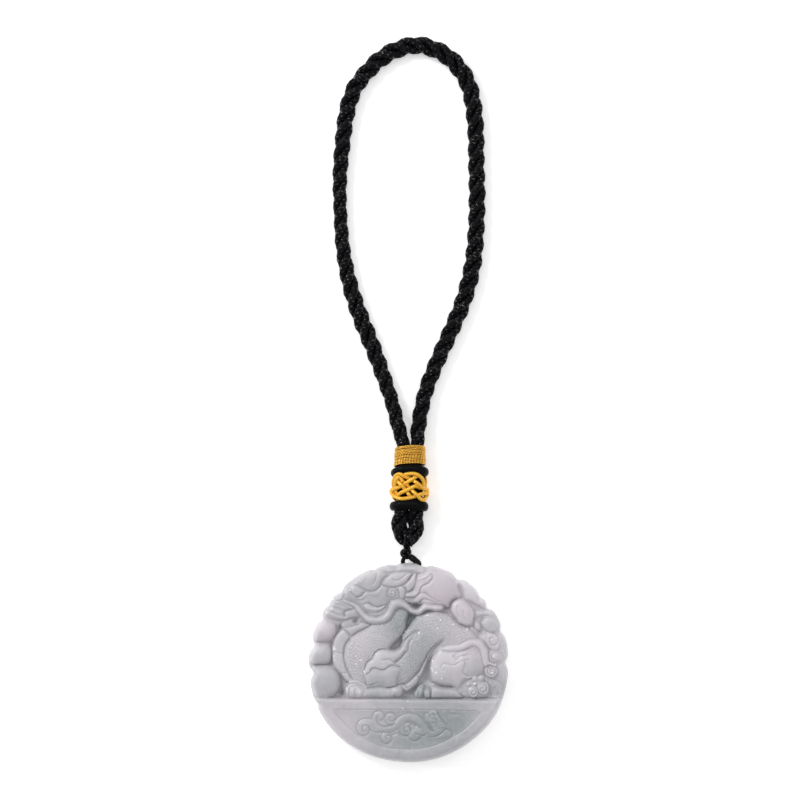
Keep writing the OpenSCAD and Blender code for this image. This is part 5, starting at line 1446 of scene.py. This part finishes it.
def cord_mat(name, dark, light, yarn, rough, spec=0.5, bump=0.00006, sheen=0.0, spark=0.0, fuzz=0.8):
    """Satin thread: yarns slant across each strand; the colour is painted darker in the dips between yarns and lighter
    on their crowns as painted shade, with noise and strand tone on top.
    """
    c = Mat(name)
    uvn = c.node("ShaderNodeUVMap", uv_map="along")
    sep = c.node("ShaderNodeSeparateXYZ")
    c.link(uvn.outputs["UV"], sep.inputs[0])
    u, v = sep.outputs[0], sep.outputs[1]
    a = c.math("SINE", c.math("MULTIPLY", c.math("ADD", c.math("DIVIDE", u, yarn[0]), c.math("MULTIPLY", v, yarn[1])), 2 * math.pi), 0)
    b = c.math("SINE", c.math("MULTIPLY", c.math("SUBTRACT", c.math("DIVIDE", u, yarn[0]), c.math("MULTIPLY", v, yarn[1])), 2 * math.pi), 0)
    if yarn[2]:
        w = c.math("MAXIMUM", a, b)
    else:
        w = a
    co = c.coords()
    nz = c.noise(co, 1.3, 4.0, 0.6)
    fib = c.noise(co, 9.0, 3.0, 0.7)
    # painted shade: dark goes in the dips between yarns and light on their crowns; the noise and the strand tone vary
    # the thread's own tone
    fac = c.math("ADD", c.math("MULTIPLY", c.rng(w, -1, 1, 0, 1), 0.6), c.math("MULTIPLY", nz, 0.5))
    fac = c.math("ADD", fac, c.math("MULTIPLY", c.rng(c.attr("tone"), 0, 1, -0.06, 0.06), 1.0))
    col = c.ramp(fac, (0.25, dark), (0.95, light))
    h = c.math("ADD", c.math("MULTIPLY", w, 0.5 if not spark else 0.2), c.math("MULTIPLY", fib, fuzz))
    if spark:
        h = c.math("ADD", h, c.math("MULTIPLY", c.rng(c.math("MINIMUM", a, b), -0.5, 1.0, 0, 1), 0.9))
    c.put(Base_Color=col, Roughness=c.rng(fib, 0.3, 0.7, rough - 0.06, rough + 0.08), Normal=c.bump(h, bump, 1.0))
    c.b.inputs["Specular IOR Level"].default_value = spec
    if spark:
        crown = c.math("MULTIPLY", c.rng(c.math("MINIMUM", a, b), 0.2, 0.75, 0, 1), c.rng(c.noise(co, 0.33, 2.0, 0.7), 0.42, 0.62, 0.0, 1))
        c.put(Specular_IOR_Level=c.rng(crown, 0, 1, spec, spark))
    c.b.inputs["Sheen Weight"].default_value = sheen
    return c


black = cord_mat("black_cord", (0.0030, 0.0029, 0.0036), (0.0072, 0.0072, 0.0088), (1.34, 3, True), 0.15, 0.05, 0.00013, spark=1.0, fuzz=0.10)
for ob in (loop_ob, eye_ob):
    ob.data.materials.append(black.m)
thread = cord_mat("black_thread", (0.0022, 0.0022, 0.0026), (0.0036, 0.0036, 0.0042), (0.42, 0.5, False), 0.34, 0.07, 0.00001)
for ob in (ring_a, ring_b):
    ob.data.materials.append(thread.m)
tie_m = cord_mat("black_tie", (0.0008, 0.0008, 0.001), (0.005, 0.005, 0.006), (0.7, 2, True), 0.2, 0.14, 0.00008, spark=1.0, fuzz=0.12)
for ob in (tie_ob, kn_ob, pass_ob):
    ob.data.materials.append(tie_m.m)
gold = cord_mat("gold_wrapping", (0.56, 0.26, 0.026), (0.95, 0.62, 0.13), (0.75, 1, False), 0.32, 0.5, 0.00004)
gold.b.inputs["Metallic"].default_value = 0.9
wrap_ob.data.materials.append(gold.m)
gk = cord_mat("gold_knot", (0.84, 0.42, 0.03), (1.0, 0.58, 0.065), (0.62, 2, False), 0.33, 0.5, 0.00002)
gk.b.inputs["Metallic"].default_value = 0.35
knot_ob.data.materials.append(gk.m)

# ---------------------------------------------------------------- floor and light

me = bpy.data.meshes.new("floor")
S = 3.0
me.from_pydata([(-S, -S, 0), (S, -S, 0), (S, S, 0), (-S, S, 0)], [], [(0, 1, 2, 3)])
floor = bpy.data.objects.new("floor", me)
bpy.context.scene.collection.objects.link(floor)
floor.location.z = -0.0001
f = Mat("floor")
f.put(Base_Color=f.ramp(f.noise(f.coords(1.0), 3.0), (0.3, (0.93, 0.93, 0.93)), (0.7, (0.95, 0.95, 0.95))), Roughness=0.9)
f.b.inputs["Specular IOR Level"].default_value = 0.1
f.b.inputs["Emission Color"].default_value = (1, 1, 1, 1)
f.b.inputs["Emission Strength"].default_value = 0.38
floor.data.materials.append(f.m)

world = bpy.data.worlds.new("world")
bpy.context.scene.world = world
world.use_nodes = True
world.node_tree.nodes["Background"].inputs["Color"].default_value = (1.0, 1.0, 1.0, 1)
world.node_tree.nodes["Background"].inputs["Strength"].default_value = 0.43


def panel(name, at, aim, size, watts, color=(1, 1, 1)):
    l = bpy.data.lights.new(name, "AREA")
    l.shape = "RECTANGLE"
    l.size, l.size_y = size
    l.energy = watts
    l.color = color
    o = bpy.data.objects.new(name, l)
    bpy.context.scene.collection.objects.link(o)
    o.location = at
    o.rotation_euler = (Vector(aim) - Vector(at)).to_track_quat("-Z", "Y").to_euler()
    return o


panel("key", (-0.50, 0.55, 0.62), (0, 0.06, 0), (0.24, 0.24), 3.5)
panel("top", (0.05, 0.50, 1.10), (0, 0.06, 0), (1.0, 0.7), 3.1)
panel("fill", (0.70, -0.25, 0.55), (0, 0.05, 0), (0.5, 0.5), 0.8)
panel("low", (-0.86, 0.12, 0.40), (0, 0.10, 0), (0.045, 0.045), 1.0)

vs = bpy.context.scene.view_settings
vs.view_transform = "Standard"
vs.look = "None"
vs.exposure = 0.0
vs.gamma = 1.0

# ---------------------------------------------------------------- finish

bpy.context.view_layer.update()
